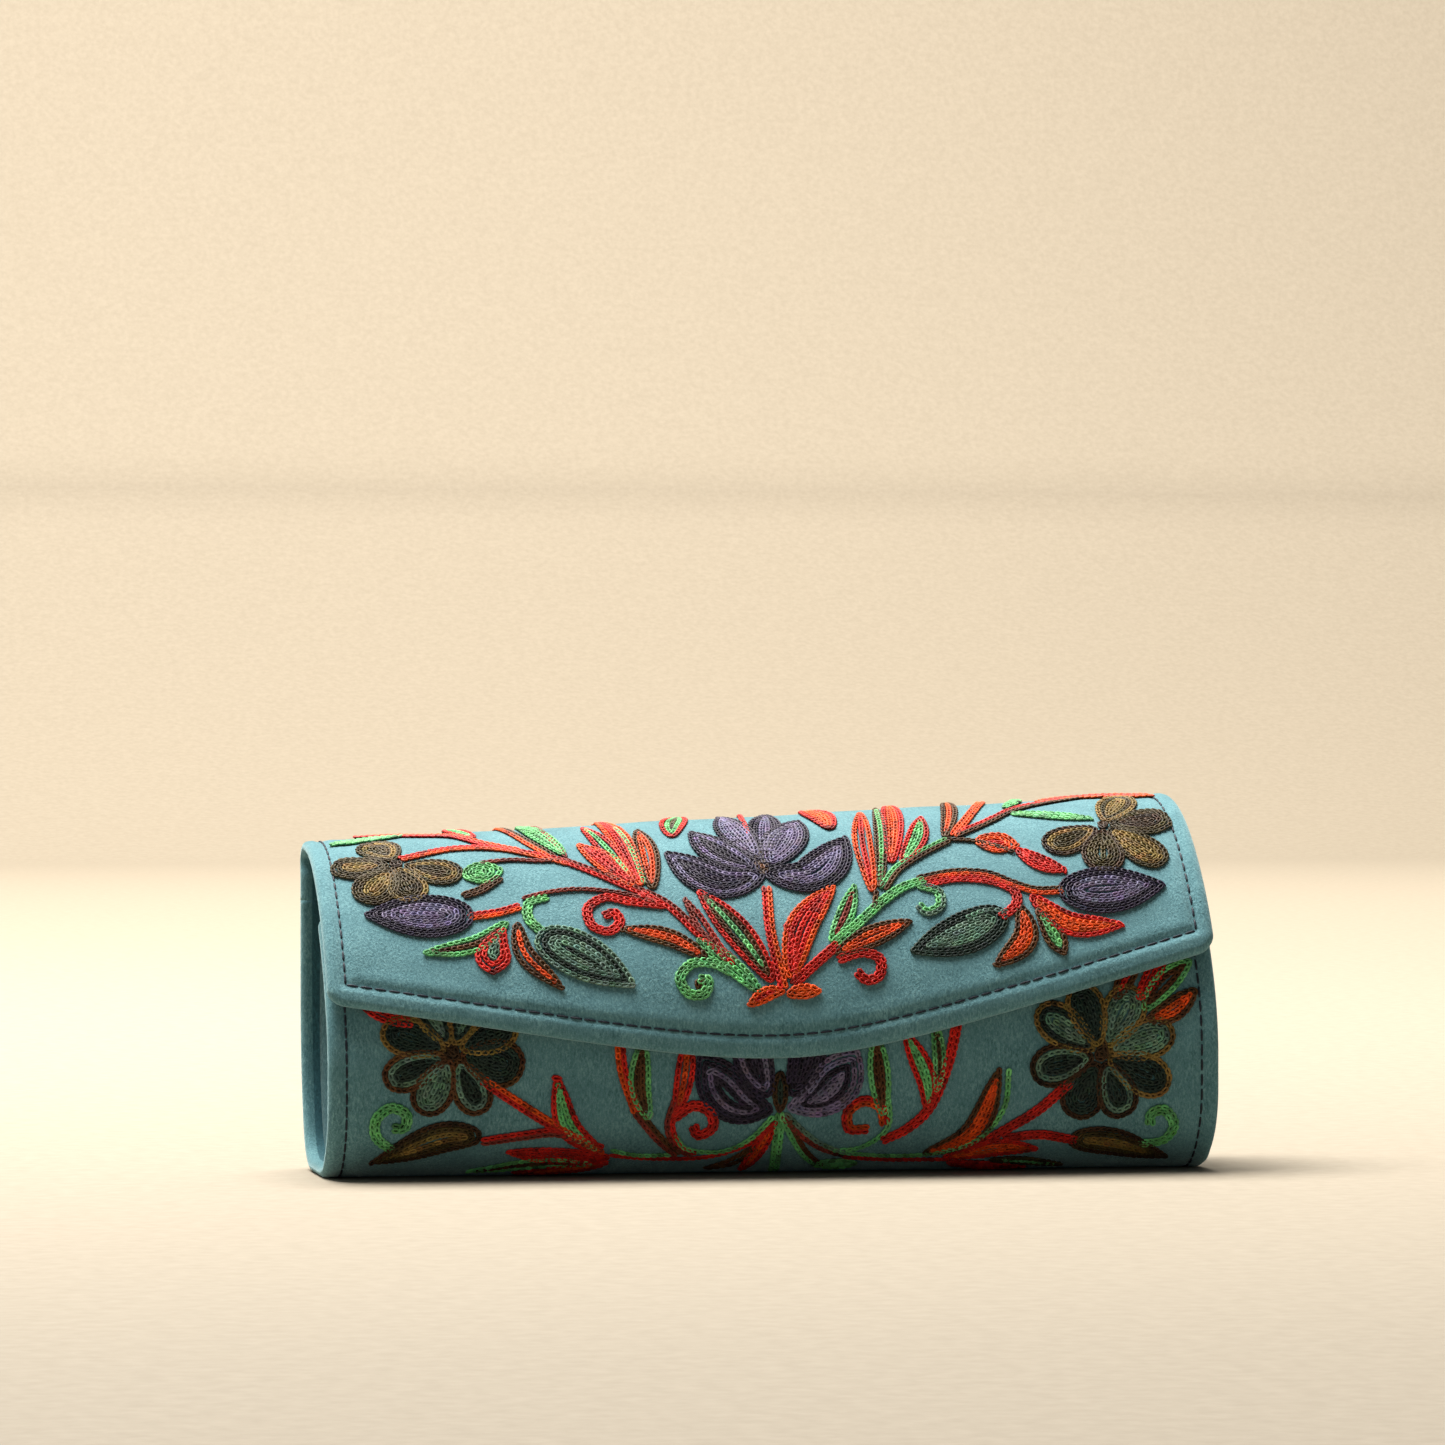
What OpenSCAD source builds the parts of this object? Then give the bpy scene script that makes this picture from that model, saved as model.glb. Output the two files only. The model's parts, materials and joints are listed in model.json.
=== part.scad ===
// Soft pouch case for spectacles. A padded velvet shell with a pleated gusset at each end,
// a front wall that eases open, and a curved flap that folds over the top and closes on a
// hidden magnetic snap. The right end is taller than the left.
// X runs along the case, the front faces -Y, Z is up, and the origin is under the middle.

/* [Case] */
// Length from end to end
case_len = 168; // [150:1:180]
// Height halfway along
case_h = 66; // [62:1:70]
// Depth from the back wall to the front of the flap
case_d = 49; // [47:1:52]
// Share of the height that the right end gains and the left end loses
flare = 0.066; // [0:0.002:0.08]

/* [Layers] */
// Thickness of the velvet cover
cover_t = 0.7; // [0.6:0.05:0.8]
// Thickness of the foam padding
padding_t = 0.5; // [0.4:0.05:0.6]
// Thickness of the stiffening board
board_t = 0.6; // [0.5:0.05:0.7]
// Thickness of the lining
lining_t = 0.6; // [0.5:0.05:0.6]
// Width of the soft rim outside the board
hem = 2; // [1.5:0.5:3]

/* [Flap] */
// Length of the flap at the middle, from the back corner to its edge
flap_reach = 67.4; // [62:0.2:68]
// Slope of the flap's edge towards the left end
left_slope = 0.226; // [0:0.002:0.25]
// Slope of the flap's edge towards the right end
right_slope = 0.284; // [0:0.002:0.3]

/* [Gussets] */
// How far the pleat folds in at the top
pleat = 12; // [6:1:16]
// Thickness of the gusset velvet
gusset_t = 0.9; // [0.7:0.1:1.2]

/* [Thread] */
// Length of one topstitch
stitch_len = 2; // [1.6:0.1:2.4]
// Distance from one topstitch to the next
stitch_pitch = 2.6; // [2.5:0.1:4]
// Distance of the topstitching from the edge
stitch_inset = 3.4; // [3:0.2:5]
// Height of the embroidery above the velvet
thread_h = 0.4; // [0.3:0.05:0.45]

/* [Snap] */
// Radius of the snap's discs
snap_r = 5.5; // [5:0.1:6]
// Distance of the snap from the back corner, along the flap
snap_v = 48; // [46:0.5:49]

/* [Hidden] */

half_len = case_len / 2;
fold_gap = 0.2;    // from a fold's line to the panel on each side of it
fold_soft = 3;     // the board stops this far from a fold
thread_in = 0.25;  // how deep the threads sit in the pile
stitch_w = 0.55;

VELVET = [0.30, 0.52, 0.56];
VELVET_LINING = [0.20, 0.38, 0.42];
FOAM = [0.93, 0.91, 0.86];
BOARD = [0.70, 0.62, 0.48];
NAVY = [0.07, 0.10, 0.15];
RED = [0.80, 0.15, 0.12];
GREEN = [0.30, 0.60, 0.38];
BROWN = [0.36, 0.26, 0.14];
PURPLE = [0.27, 0.24, 0.34];
STEEL = [0.75, 0.75, 0.77];

// ---- The section: chains of [radius, degrees] arcs, or [0, length] for a straight. Each is
// ---- walked with the inside of the case on the left, from [forward, up, heading].

function arc_or_straight(g) = g[0] == 0 ? g[1] : g[0] * g[1] * PI / 180;

function moved(p, g, s) = g[0] == 0
    ? [p[0] + s * cos(p[2]), p[1] + s * sin(p[2]), p[2]]
    : let (turned = p[2] + s / g[0] * 180 / PI)
      [p[0] + g[0] * (sin(turned) - sin(p[2])), p[1] - g[0] * (cos(turned) - cos(p[2])), turned];

function along(p, segs, s, i = 0) =
    i == len(segs) - 1 || s <= arc_or_straight(segs[i])
        ? moved(p, segs[i], s)
        : along(moved(p, segs[i], arc_or_straight(segs[i])), segs,
                s - arc_or_straight(segs[i]), i + 1);

// Distance along a chain to the end of its first n segments
function upto(segs, n) = n == 0 ? 0 : upto(segs, n - 1) + arc_or_straight(segs[n - 1]);

// Flap: up the front, over the crown, and down the back corner
flap_segs = [[33.2, 25], [63.2, 30], [35, 35], [4, 90]];
flap_start = [25, 20.6, 90];
crown = upto(flap_segs, 3);
flap_end = upto(flap_segs, 4);
flap_path = [flap_start, flap_segs];

// Body: down the back, under the bottom, and up the front to the mouth
back_corner_r = 12;
back_curve = [60, 25];
front_corner_r = 15;
bottom_flat = 13.5;
front_rise = 5.6;
body_start = let (p = along(flap_start, flap_segs, flap_end)) [p[0], p[1], -90];
back_straight = body_start[1] - back_curve[0] * sin(back_curve[1])
    - back_corner_r * (1 - sin(back_curve[1]));
body_segs = [
    [0, back_straight], back_curve, [back_corner_r, 90 - back_curve[1]], [0, bottom_flat],
    [front_corner_r, 90], [0, front_rise], [30, 25], [60, 23]
];
body_path = [body_start, body_segs];
mouth = upto(body_segs, 8);
front_fold = upto(body_segs, 4) + front_corner_r * 25 * PI / 180;

section_d = flap_start[0] - body_start[0];
section_h = body_start[1] + flap_segs[3][0];
section_mid = (flap_start[0] + body_start[0]) / 2;

// A point of the case, from its place along the case and in the drawn section
function placed(u, f, z) = [
    u,
    (section_mid - f) * case_d / section_d,
    z * case_h / section_h * (1 + flare * u / half_len)
];

// A point on a chain, at a depth under the outer surface
function at(path, u, s, depth) =
    let (p = along(path[0], path[1], s))
    placed(u, p[0] - depth * sin(p[2]), p[1] + depth * cos(p[2]));

// ---- Panels

cover_in = cover_t;
padding_in = cover_in + padding_t;
board_in = padding_in + board_t;
lining_in = board_in + lining_t;
fold_in = cover_in + lining_t;
rim_mid = lining_in / 2;

// Depths of the four layers' faces within a panel, at its rim, in a fold, and where they meet
LEVELS = [
    [0, cover_in, padding_in, board_in, lining_in],
    [0.4, rim_mid, rim_mid, rim_mid, lining_in - 0.4],
    [0, cover_in, cover_in, cover_in, fold_in],
    [0.3, fold_in / 2, fold_in / 2, fold_in / 2, fold_in - 0.3]
];

function steps(a, b, n) = [for (i = [1:n]) a + (b - a) * i / n];
function columns(n) = concat([-half_len, hem - half_len], steps(hem - half_len, half_len - hem, n),
                             [half_len]);

// Reach of the flap at a place along the case: two slopes that meet in a round tip
function edge_v(u) =
    let (run = (u < 0 ? left_slope : right_slope) * u, tip = 6)
    flap_reach - sqrt(tip * tip + run * run) + tip;

// A panel is [path, columns, rows for each column, rows in folds, the free rim's row]
flap_us = columns(16);
flap_panel = [
    flap_path, flap_us,
    [for (u = flap_us)
        let (rim = crown - edge_v(u))
        concat([rim, rim + hem], steps(rim + hem, crown, 11), steps(crown, flap_end - fold_gap, 3))],
    [13, 14, 15], 0
];

shell_us = columns(6);
shell_rows = concat(
    [fold_gap, fold_soft],
    steps(fold_soft, upto(body_segs, 1), 3),
    steps(upto(body_segs, 1), upto(body_segs, 2), 4),
    steps(upto(body_segs, 2), upto(body_segs, 3), 4),
    [upto(body_segs, 4) - 6, front_fold - fold_soft, front_fold - fold_gap]
);
shell_panel = [
    body_path, shell_us, [for (u = shell_us) shell_rows],
    [0, len(shell_rows) - 1], -1
];

front_us = columns(6);
front_rows = concat(
    [front_fold + fold_gap, front_fold + fold_soft],
    steps(front_fold + fold_soft, upto(body_segs, 5), 3),
    steps(upto(body_segs, 5), upto(body_segs, 6), 1),
    steps(upto(body_segs, 6), upto(body_segs, 7), 3),
    steps(upto(body_segs, 7), mouth - hem, 5),
    [mouth]
);
front_panel = [
    body_path, front_us, [for (u = front_us) front_rows],
    [0], len(front_rows) - 1
];

function has(list, x) = len([for (y = list) if (y == x) y]) > 0;

function level(panel, i, j) =
    (i == 0 || i == len(panel[1]) - 1 || j == panel[4] ? 1 : 0) + (has(panel[3], j) ? 2 : 0);

function panel_point(panel, i, j, face) =
    at(panel[0], panel[1][i], panel[2][i][j], LEVELS[level(panel, i, j)][face]);

// A solid between two grids of points, both listed column by column
module between_grids(outer, inner, cols, rows) {
    n = cols * rows;
    function o(i, j) = i * rows + j;
    function q(i, j) = n + i * rows + j;
    I = cols - 1;
    J = rows - 1;
    function halves(f) = [[f[0], f[1], f[2]], [f[0], f[2], f[3]]];
    quads = concat(
        [for (i = [0:I - 1], j = [0:J - 1]) [o(i, j), o(i, j + 1), o(i + 1, j + 1), o(i + 1, j)]],
        [for (i = [0:I - 1], j = [0:J - 1]) [q(i, j), q(i + 1, j), q(i + 1, j + 1), q(i, j + 1)]],
        [for (j = [0:J - 1]) [o(0, j + 1), o(0, j), q(0, j), q(0, j + 1)]],
        [for (j = [0:J - 1]) [o(I, j), o(I, j + 1), q(I, j + 1), q(I, j)]],
        [for (i = [0:I - 1]) [o(i, 0), o(i + 1, 0), q(i + 1, 0), q(i, 0)]],
        [for (i = [0:I - 1]) [o(i + 1, J), o(i, J), q(i, J), q(i + 1, J)]]
    );
    polyhedron(concat(outer, inner), [for (f = quads) for (half = halves(f)) half]);
}

// Cover (faces 0 and 1) or lining (3 and 4), over the whole panel
module skin(panel, face) {
    cols = len(panel[1]);
    rows = len(panel[2][0]);
    between_grids(
        [for (i = [0:cols - 1], j = [0:rows - 1]) panel_point(panel, i, j, face)],
        [for (i = [0:cols - 1], j = [0:rows - 1]) panel_point(panel, i, j, face + 1)],
        cols, rows
    );
}

// Padding (faces 1 and 2) or board (2 and 3), inside the rim and between the given rows
module core(panel, face, first, last) {
    cols = len(panel[1]) - 2;
    between_grids(
        [for (i = [1:cols], j = [first:last]) panel_point(panel, i, j, face)],
        [for (i = [1:cols], j = [first:last]) panel_point(panel, i, j, face + 1)],
        cols, last - first + 1
    );
}

// ---- Snap: flat discs across the flap and the front, on one axis

snap_place = along(flap_start, flap_segs, crown - snap_v);

// Moves to the flap's outer surface at the snap, with Z pointing into the case
module at_snap() {
    p = at(flap_path, 0, crown - snap_v, 0);
    translate(p) rotate([-snap_place[2], 0, 0]) children();
}

module disc(r, from, to) {
    translate([0, 0, from]) cylinder(r = r, h = to - from, $fn = 64);
}

ring_r = 3.1;
post_r = 2.3;
stem_r = 0.8;
washer_t = 0.2;
magnet_in = board_in + 0.05;
ring_in = lining_in + 0.2;
gap = 0.8;
front_face = lining_in + gap;
stud_top = front_face - 0.25;
pocket = 0.1;

// ---- Thread: ribbons laid on a surface, along a spine of [u, v] points

module ribbon(on, spine, widths, up = thread_h) {
    last = len(spine) - 1;
    function across(i) =
        let (d = spine[min(i + 1, last)] - spine[max(i - 1, 0)]) [-d[1], d[0]] / norm(d);
    function side(i, k, depth) =
        let (p = spine[i] + k * widths[i] / 2 * across(i)) on(p[0], p[1], depth);
    between_grids(
        [for (i = [0:last], k = [1, -1]) side(i, k, -up)],
        [for (i = [0:last], k = [1, -1]) side(i, k, thread_in)],
        last + 1, 2
    );
}

// A stem of even width through points
module stem(on, points, w = 2) {
    ribbon(on, points, [for (p = points) w]);
}

// A petal, leaf or bud from one tip to the other, bowed to one side
module leaf(on, a, b, w, bow = 0) {
    ts = [0, 0.12, 0.3, 0.5, 0.7, 0.88, 1];
    d = b - a;
    across = [-d[1], d[0]] / norm(d);
    ribbon(on, [for (t = ts) a + t * d + 4 * t * (1 - t) * bow * across],
           [for (t = ts) max(0.5, w * pow(sin(180 * t), 0.8))]);
}

// A curl of thread: an arc from one angle to another about a centre
module curl(on, c, r, from, to, w = 1.8) {
    n = 7;
    stem(on, [for (i = [0:n]) let (a = from + (to - from) * i / n) c + r * [cos(a), sin(a)]], w);
}

// Petals round a centre, each to its own tip
module petals(on, c, tips, w, hole = 1.6) {
    for (tip = tips) {
        d = tip - c;
        leaf(on, c + hole * d / norm(d), tip, w);
    }
}

// A row of topstitches along a line of points
module stitches(on, a, b) {
    run = norm(b - a);
    n = max(1, floor(run / stitch_pitch));
    for (i = [0:n - 1]) {
        mid = (i + 0.5) / n;
        ribbon(on, [for (k = [-0.5, 0.5]) a + (b - a) * (mid + k * stitch_len / run)],
               [stitch_w, stitch_w], 0.2);
    }
}

// Surfaces that thread is laid on: u along the case, v down from the panel's top
on_flap = function(u, v, depth) at(flap_path, u, crown - v, depth);
on_back = function(u, v, depth) at(body_path, -u, v, depth);
on_front = function(u, v, depth) at(body_path, u, mouth - v, depth);

// ---- The flap's design, which the back wall repeats

module crown_red(on) {
    stem(on, [[-0.5, 33.5], [0.5, 42], [0.5, 52]]);
    leaf(on, [-6, 57], [0, 55], 3);
    leaf(on, [1, 55.5], [8, 55], 3);
    leaf(on, [-1.5, 53], [-13.5, 32], 4.5);
    leaf(on, [3, 52], [13, 32], 5.5);
    leaf(on, [-29, 41], [-12.5, 48], 4);
    leaf(on, [12, 47], [26.5, 41.5], 4.5);
    stem(on, [[-9, 48], [-16, 40], [-24, 33], [-33, 26], [-39, 22]], 2.4);
    stem(on, [[-26, 31], [-33, 30], [-42, 31.5], [-47, 34], [-55, 35.5]]);
    curl(on, [-30.5, 37], 3, 300, 30);
    leaf(on, [-20, 30], [-23, 11], 4.5);
    leaf(on, [-25, 29], [-34, 15], 5);
    leaf(on, [-22.5, 19], [-26.5, 1.5], 3.5);
    stem(on, [[-42, 20], [-50, 15.5], [-60, 15], [-66.5, 17.5]]);
    stem(on, [[-43, 17], [-46, 8], [-48, 1]]);
    leaf(on, [-53, 50], [-49, 40], 5);
    leaf(on, [-41, 53], [-47, 38], 3.5);
    curl(on, [17, 51], 3, 210, 450);
    leaf(on, [20, 33], [21.5, 7], 4);
    leaf(on, [25, 26], [27.5, 1.5], 4);
    stem(on, [[32.5, 32], [40, 31], [45.5, 34], [48, 37]]);
    stem(on, [[39, 17], [42, 8], [44, 1]]);
    stem(on, [[40, 18.5], [48, 13.5], [60, 7]], 2.6);
    leaf(on, [42, 22], [50, 22], 6);
    leaf(on, [50.5, 24], [58, 31], 3.6);
    leaf(on, [50.5, 37.5], [67, 44], 5);
    leaf(on, [48, 39.5], [40.5, 51.5], 4.5);
}

module crown_green(on) {
    leaf(on, [-14, 42.5], [-4, 54.5], 2.4);
    curl(on, [-16, 52], 3.4, 120, 330);
    leaf(on, [-27.5, 25], [-30.5, 8], 3);
    stem(on, [[-38.5, 19], [-41, 9], [-43, 1]], 2.6);
    leaf(on, [-56.5, 23], [-48, 24], 6);
    leaf(on, [-66, 44], [-50, 38], 3.6);
    leaf(on, [-45, 39.5], [-27.5, 53], 9);
    leaf(on, [10.5, 45], [16, 33], 3);
    stem(on, [[14, 44], [22, 36.5], [30, 33]], 2.4);
    curl(on, [30, 38], 2.8, 270, 520);
    leaf(on, [29.5, 26.5], [33.5, 11], 4.5);
    leaf(on, [26, 48], [43.5, 40], 8.5);
    leaf(on, [51, 42], [55, 50], 4);
    leaf(on, [51, 12], [64, 13], 3);
}

module crown_brown(on) {
    petals(on, [-70, 19.5], [[-72.5, 9.5], [-80, 20], [-58, 24.5], [-75.5, 30], [-66, 30]], 6);
    petals(on, [67, 19], [[74, 7], [79.5, 17.5], [75.5, 29], [64, 30.5], [56, 24.5]], 6.4);
    leaf(on, [-57, 31], [-50, 27], 2.6);
    leaf(on, [-15, 34.5], [-8.5, 47], 2.2);
    stem(on, [[-43, 22.5], [-48, 21.5]], 1.8);
    stem(on, [[27, 29], [32, 24.5], [37.5, 19]], 2);
    stem(on, [[50, 35], [55, 35.5]], 2);
    leaf(on, [-1.8, 24], [1.8, 26], 2.4);
}

module crown_purple(on) {
    leaf(on, [-2, 31], [-17.5, 20.5], 7, 1);
    leaf(on, [-3, 24], [-11.5, 13], 5.6);
    leaf(on, [-1.5, 21.5], [-4.5, 5], 5.2);
    leaf(on, [1.5, 21.5], [4, 4], 5);
    leaf(on, [3, 24], [10, 9.5], 5.8);
    leaf(on, [2.5, 30.5], [16.5, 18.5], 7, -1);
    leaf(on, [-75.5, 35], [-57, 35.5], 8);
    leaf(on, [75, 36], [57, 36], 8.5);
}

// ---- The front wall's design

module front_red(on) {
    leaf(on, [-79, 23], [-67, 26.5], 3);
    stem(on, [[-54, 41.5], [-48, 45], [-38, 51], [-32, 53.5]], 2.2);
    leaf(on, [-42.5, 38], [-35, 49], 4);
    leaf(on, [-53, 52.5], [-37, 54.5], 3.6);
    leaf(on, [-48, 57.8], [-34, 56], 2.6);
    stem(on, [[-29.5, 33], [-28.5, 42], [-25.5, 48], [-20, 52]], 2.2);
    stem(on, [[-17, 34], [-21, 43], [-19.5, 50]], 2.6);
    curl(on, [-15.5, 47.5], 2.6, 190, 430);
    leaf(on, [-3, 57.5], [-7, 50.5], 2.6);
    leaf(on, [3, 57.5], [6, 51.5], 2.6);
    curl(on, [15.5, 47.5], 2.8, 90, 350);
    stem(on, [[21.5, 52], [26, 46.5], [30.5, 40], [33, 32]], 2.4);
    leaf(on, [23, 33], [26, 44], 3);
    leaf(on, [43, 39], [36, 51], 4);
    stem(on, [[54.5, 42.5], [47, 47.5], [38, 53.5]], 2.2);
    leaf(on, [34, 56.5], [51, 55.5], 3.4);
    leaf(on, [70.5, 31.5], [80, 26], 4);
    leaf(on, [67, 22.5], [75, 17], 3.6);
}

module front_green(on) {
    curl(on, [-71.5, 47], 3, 130, 400);
    leaf(on, [-57, 56.5], [-46, 56], 2.4);
    leaf(on, [-26, 34], [-24, 46], 3);
    stem(on, [[-30, 54.5], [-20, 55], [-11, 54], [-4, 50], [-1.5, 47.5]], 1.8);
    stem(on, [[0, 49], [0, 57.5]], 1.6);
    stem(on, [[1.5, 47.5], [8, 52], [16, 55], [30, 56]], 1.8);
    leaf(on, [18, 33], [21, 46], 4);
    leaf(on, [29, 44.5], [29.5, 33], 2.2);
    leaf(on, [70, 27], [80, 20], 3.6);
    curl(on, [73, 50], 2.8, 90, 380);
}

module front_brown(on) {
    petals(on, [-61, 33], [[-72.5, 28], [-72.5, 38], [-66, 43.5], [-57, 44], [-49.5, 38],
                           [-49.5, 29], [-57.5, 22], [-66.5, 22.5]], 5.4, 2.6);
    petals(on, [61, 36.5], [[49, 29], [48.5, 39.5], [55, 47], [65, 47.5], [73.5, 41.5],
                            [74, 33], [67, 26], [57, 24.5]], 5.6, 2.6);
    leaf(on, [-75, 55], [-57, 49.5], 5.4);
    leaf(on, [57, 52], [75, 56.5], 5.4);
}

module front_purple(on) {
    leaf(on, [-2, 45], [-15, 36], 7);
    leaf(on, [-2, 41], [-6, 30], 6);
    leaf(on, [2, 41], [5, 30], 6);
    leaf(on, [2, 45], [14.5, 36], 7);
}

// ---- Sub-parts of the shell: back wall, bottom and the foot of the front

module shell_cover() { color(VELVET) skin(shell_panel, 0); }
module shell_padding() { color(FOAM) core(shell_panel, 1, 1, len(shell_rows) - 2); }
module shell_board() { color(BOARD) core(shell_panel, 2, 1, len(shell_rows) - 2); }
module shell_lining() { color(VELVET_LINING) skin(shell_panel, 3); }

module shell_stitching() {
    end_u = half_len - stitch_inset;
    color(NAVY)
        for (u = [-end_u, end_u], i = [0:5]) {
            top = fold_soft + i * (front_fold - 2 * fold_soft) / 6;
            bottom = fold_soft + (i + 1) * (front_fold - 2 * fold_soft) / 6;
            stitches(on_back, [u, top], [u, bottom]);
        }
}

// A velvet gusset: rows across the case, each a V whose point folds inwards
module gusset(end) {
    rows = 8;
    middle = upto(body_segs, 3) + bottom_flat / 2;
    root = half_len - hem;
    function lined(s) = lining_in + (s > front_fold ? 0.35 : -0.05);
    function inside(s) =
        let (p = along(body_start, body_segs, s), d = lined(s))
        [p[0] - d * sin(p[2]), p[1] + d * cos(p[2])];
    function row(j) = [inside(middle - 1 - (middle - 9) * j / rows),
                       inside(middle + 1 + (mouth - middle - 3) * j / rows)];
    function spot(j, t, out) =
        let (r = row(j), p = r[0] + (r[1] - r[0]) * t, in = pleat * pow(j / rows, 0.8))
        placed(end * (root - in * (1 - abs(2 * t - 1)) - out), p[0], p[1]);
    ts = end > 0 ? [1, 0.75, 0.5, 0.25, 0] : [0, 0.25, 0.5, 0.75, 1];
    between_grids(
        [for (t = ts, j = [0:rows]) spot(j, t, 0)],
        [for (t = ts, j = [0:rows]) spot(j, t, gusset_t)],
        len(ts), rows + 1
    );
}

module left_gusset() { color(VELVET) gusset(-1); }
module right_gusset() { color(VELVET) gusset(1); }

module shell_red_embroidery() { color(RED) crown_red(on_back); }
module shell_green_embroidery() { color(GREEN) crown_green(on_back); }
module shell_brown_embroidery() { color(BROWN) crown_brown(on_back); }
module shell_purple_embroidery() { color(PURPLE) crown_purple(on_back); }

// ---- Sub-parts of the front wall

module front_cover() { color(VELVET) skin(front_panel, 0); }

module front_padding() {
    color(FOAM)
        difference() {
            core(front_panel, 1, 1, len(front_rows) - 2);
            at_snap() disc(snap_r - 0.5 + pocket, front_face, front_face + padding_in + 0.1);
        }
}

module front_board() { color(BOARD) core(front_panel, 2, 1, len(front_rows) - 2); }
module front_lining() { color(VELVET_LINING) skin(front_panel, 3); }

module front_stitching() {
    end_u = half_len - stitch_inset;
    foot = mouth - front_fold - fold_soft;
    color(NAVY) {
        stitches(on_front, [-end_u, stitch_inset], [end_u, stitch_inset]);
        for (u = [-end_u, end_u], i = [0:3])
            stitches(on_front, [u, 6 + i * (foot - 6) / 4], [u, 6 + (i + 1) * (foot - 6) / 4]);
    }
}

module front_red_embroidery() { color(RED) front_red(on_front); }
module front_green_embroidery() { color(GREEN) front_green(on_front); }
module front_brown_embroidery() { color(BROWN) front_brown(on_front); }
module front_purple_embroidery() { color(PURPLE) front_purple(on_front); }

// A thin cap with a post that enters the ring, on a stem through the cover
module snap_stud() {
    washer_out = front_face + cover_in + 0.28;
    color(STEEL)
        at_snap() {
            disc(post_r, magnet_in + 0.35, stud_top);
            disc(snap_r - 0.5, stud_top, front_face + 0.25);
            disc(stem_r, front_face + 0.25, washer_out);
        }
}

module snap_stud_washer() {
    washer_out = front_face + cover_in + 0.28;
    color(STEEL) at_snap() disc(snap_r - 1.5, washer_out, washer_out + washer_t);
}

// ---- Sub-parts of the flap

module flap_cover() { color(VELVET) skin(flap_panel, 0); }

module flap_padding() {
    color(FOAM)
        difference() {
            core(flap_panel, 1, 1, 12);
            at_snap() disc(snap_r + pocket, 0, lining_in);
        }
}

module flap_board() {
    color(BOARD)
        difference() {
            core(flap_panel, 2, 1, 12);
            at_snap() disc(snap_r + pocket, 0, lining_in);
        }
}

module flap_lining() {
    color(VELVET_LINING)
        difference() {
            skin(flap_panel, 3);
            at_snap() disc(snap_r + pocket, 0, lining_in + 1);
        }
}

module flap_stitching() {
    end_u = half_len - stitch_inset;
    function row(u) = [u, edge_v(u) - stitch_inset];
    color(NAVY) {
        for (u = [-end_u, end_u], i = [0:2])
            stitches(on_flap, [u, 2 + i * (row(u)[1] - 2) / 3], [u, 2 + (i + 1) * (row(u)[1] - 2) / 3]);
        for (i = [-6:5])
            stitches(on_flap, row(end_u * i / 6), row(end_u * (i + 1) / 6));
    }
}

module flap_red_embroidery() { color(RED) crown_red(on_flap); }
module flap_green_embroidery() { color(GREEN) crown_green(on_flap); }
module flap_brown_embroidery() { color(BROWN) crown_brown(on_flap); }
module flap_purple_embroidery() { color(PURPLE) crown_purple(on_flap); }

module snap_socket() {
    color(STEEL)
        at_snap()
            difference() {
                disc(snap_r, magnet_in, ring_in);
                disc(ring_r, magnet_in - 1, ring_in + 1);
            }
}

module snap_magnet() { color(NAVY) at_snap() disc(snap_r, cover_in + 0.55, magnet_in); }
module snap_socket_washer() {
    color(STEEL) at_snap() disc(snap_r - 1, cover_in + 0.55 - washer_t, cover_in + 0.55);
}

shell_cover();
shell_padding();
shell_board();
shell_lining();
shell_stitching();
left_gusset();
right_gusset();
shell_red_embroidery();
shell_green_embroidery();
shell_brown_embroidery();
shell_purple_embroidery();
front_cover();
front_padding();
front_board();
front_lining();
front_stitching();
front_red_embroidery();
front_green_embroidery();
front_brown_embroidery();
front_purple_embroidery();
snap_stud();
snap_stud_washer();
flap_cover();
flap_padding();
flap_board();
flap_lining();
flap_stitching();
flap_red_embroidery();
flap_green_embroidery();
flap_brown_embroidery();
flap_purple_embroidery();
snap_socket();
snap_magnet();
snap_socket_washer();
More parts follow.
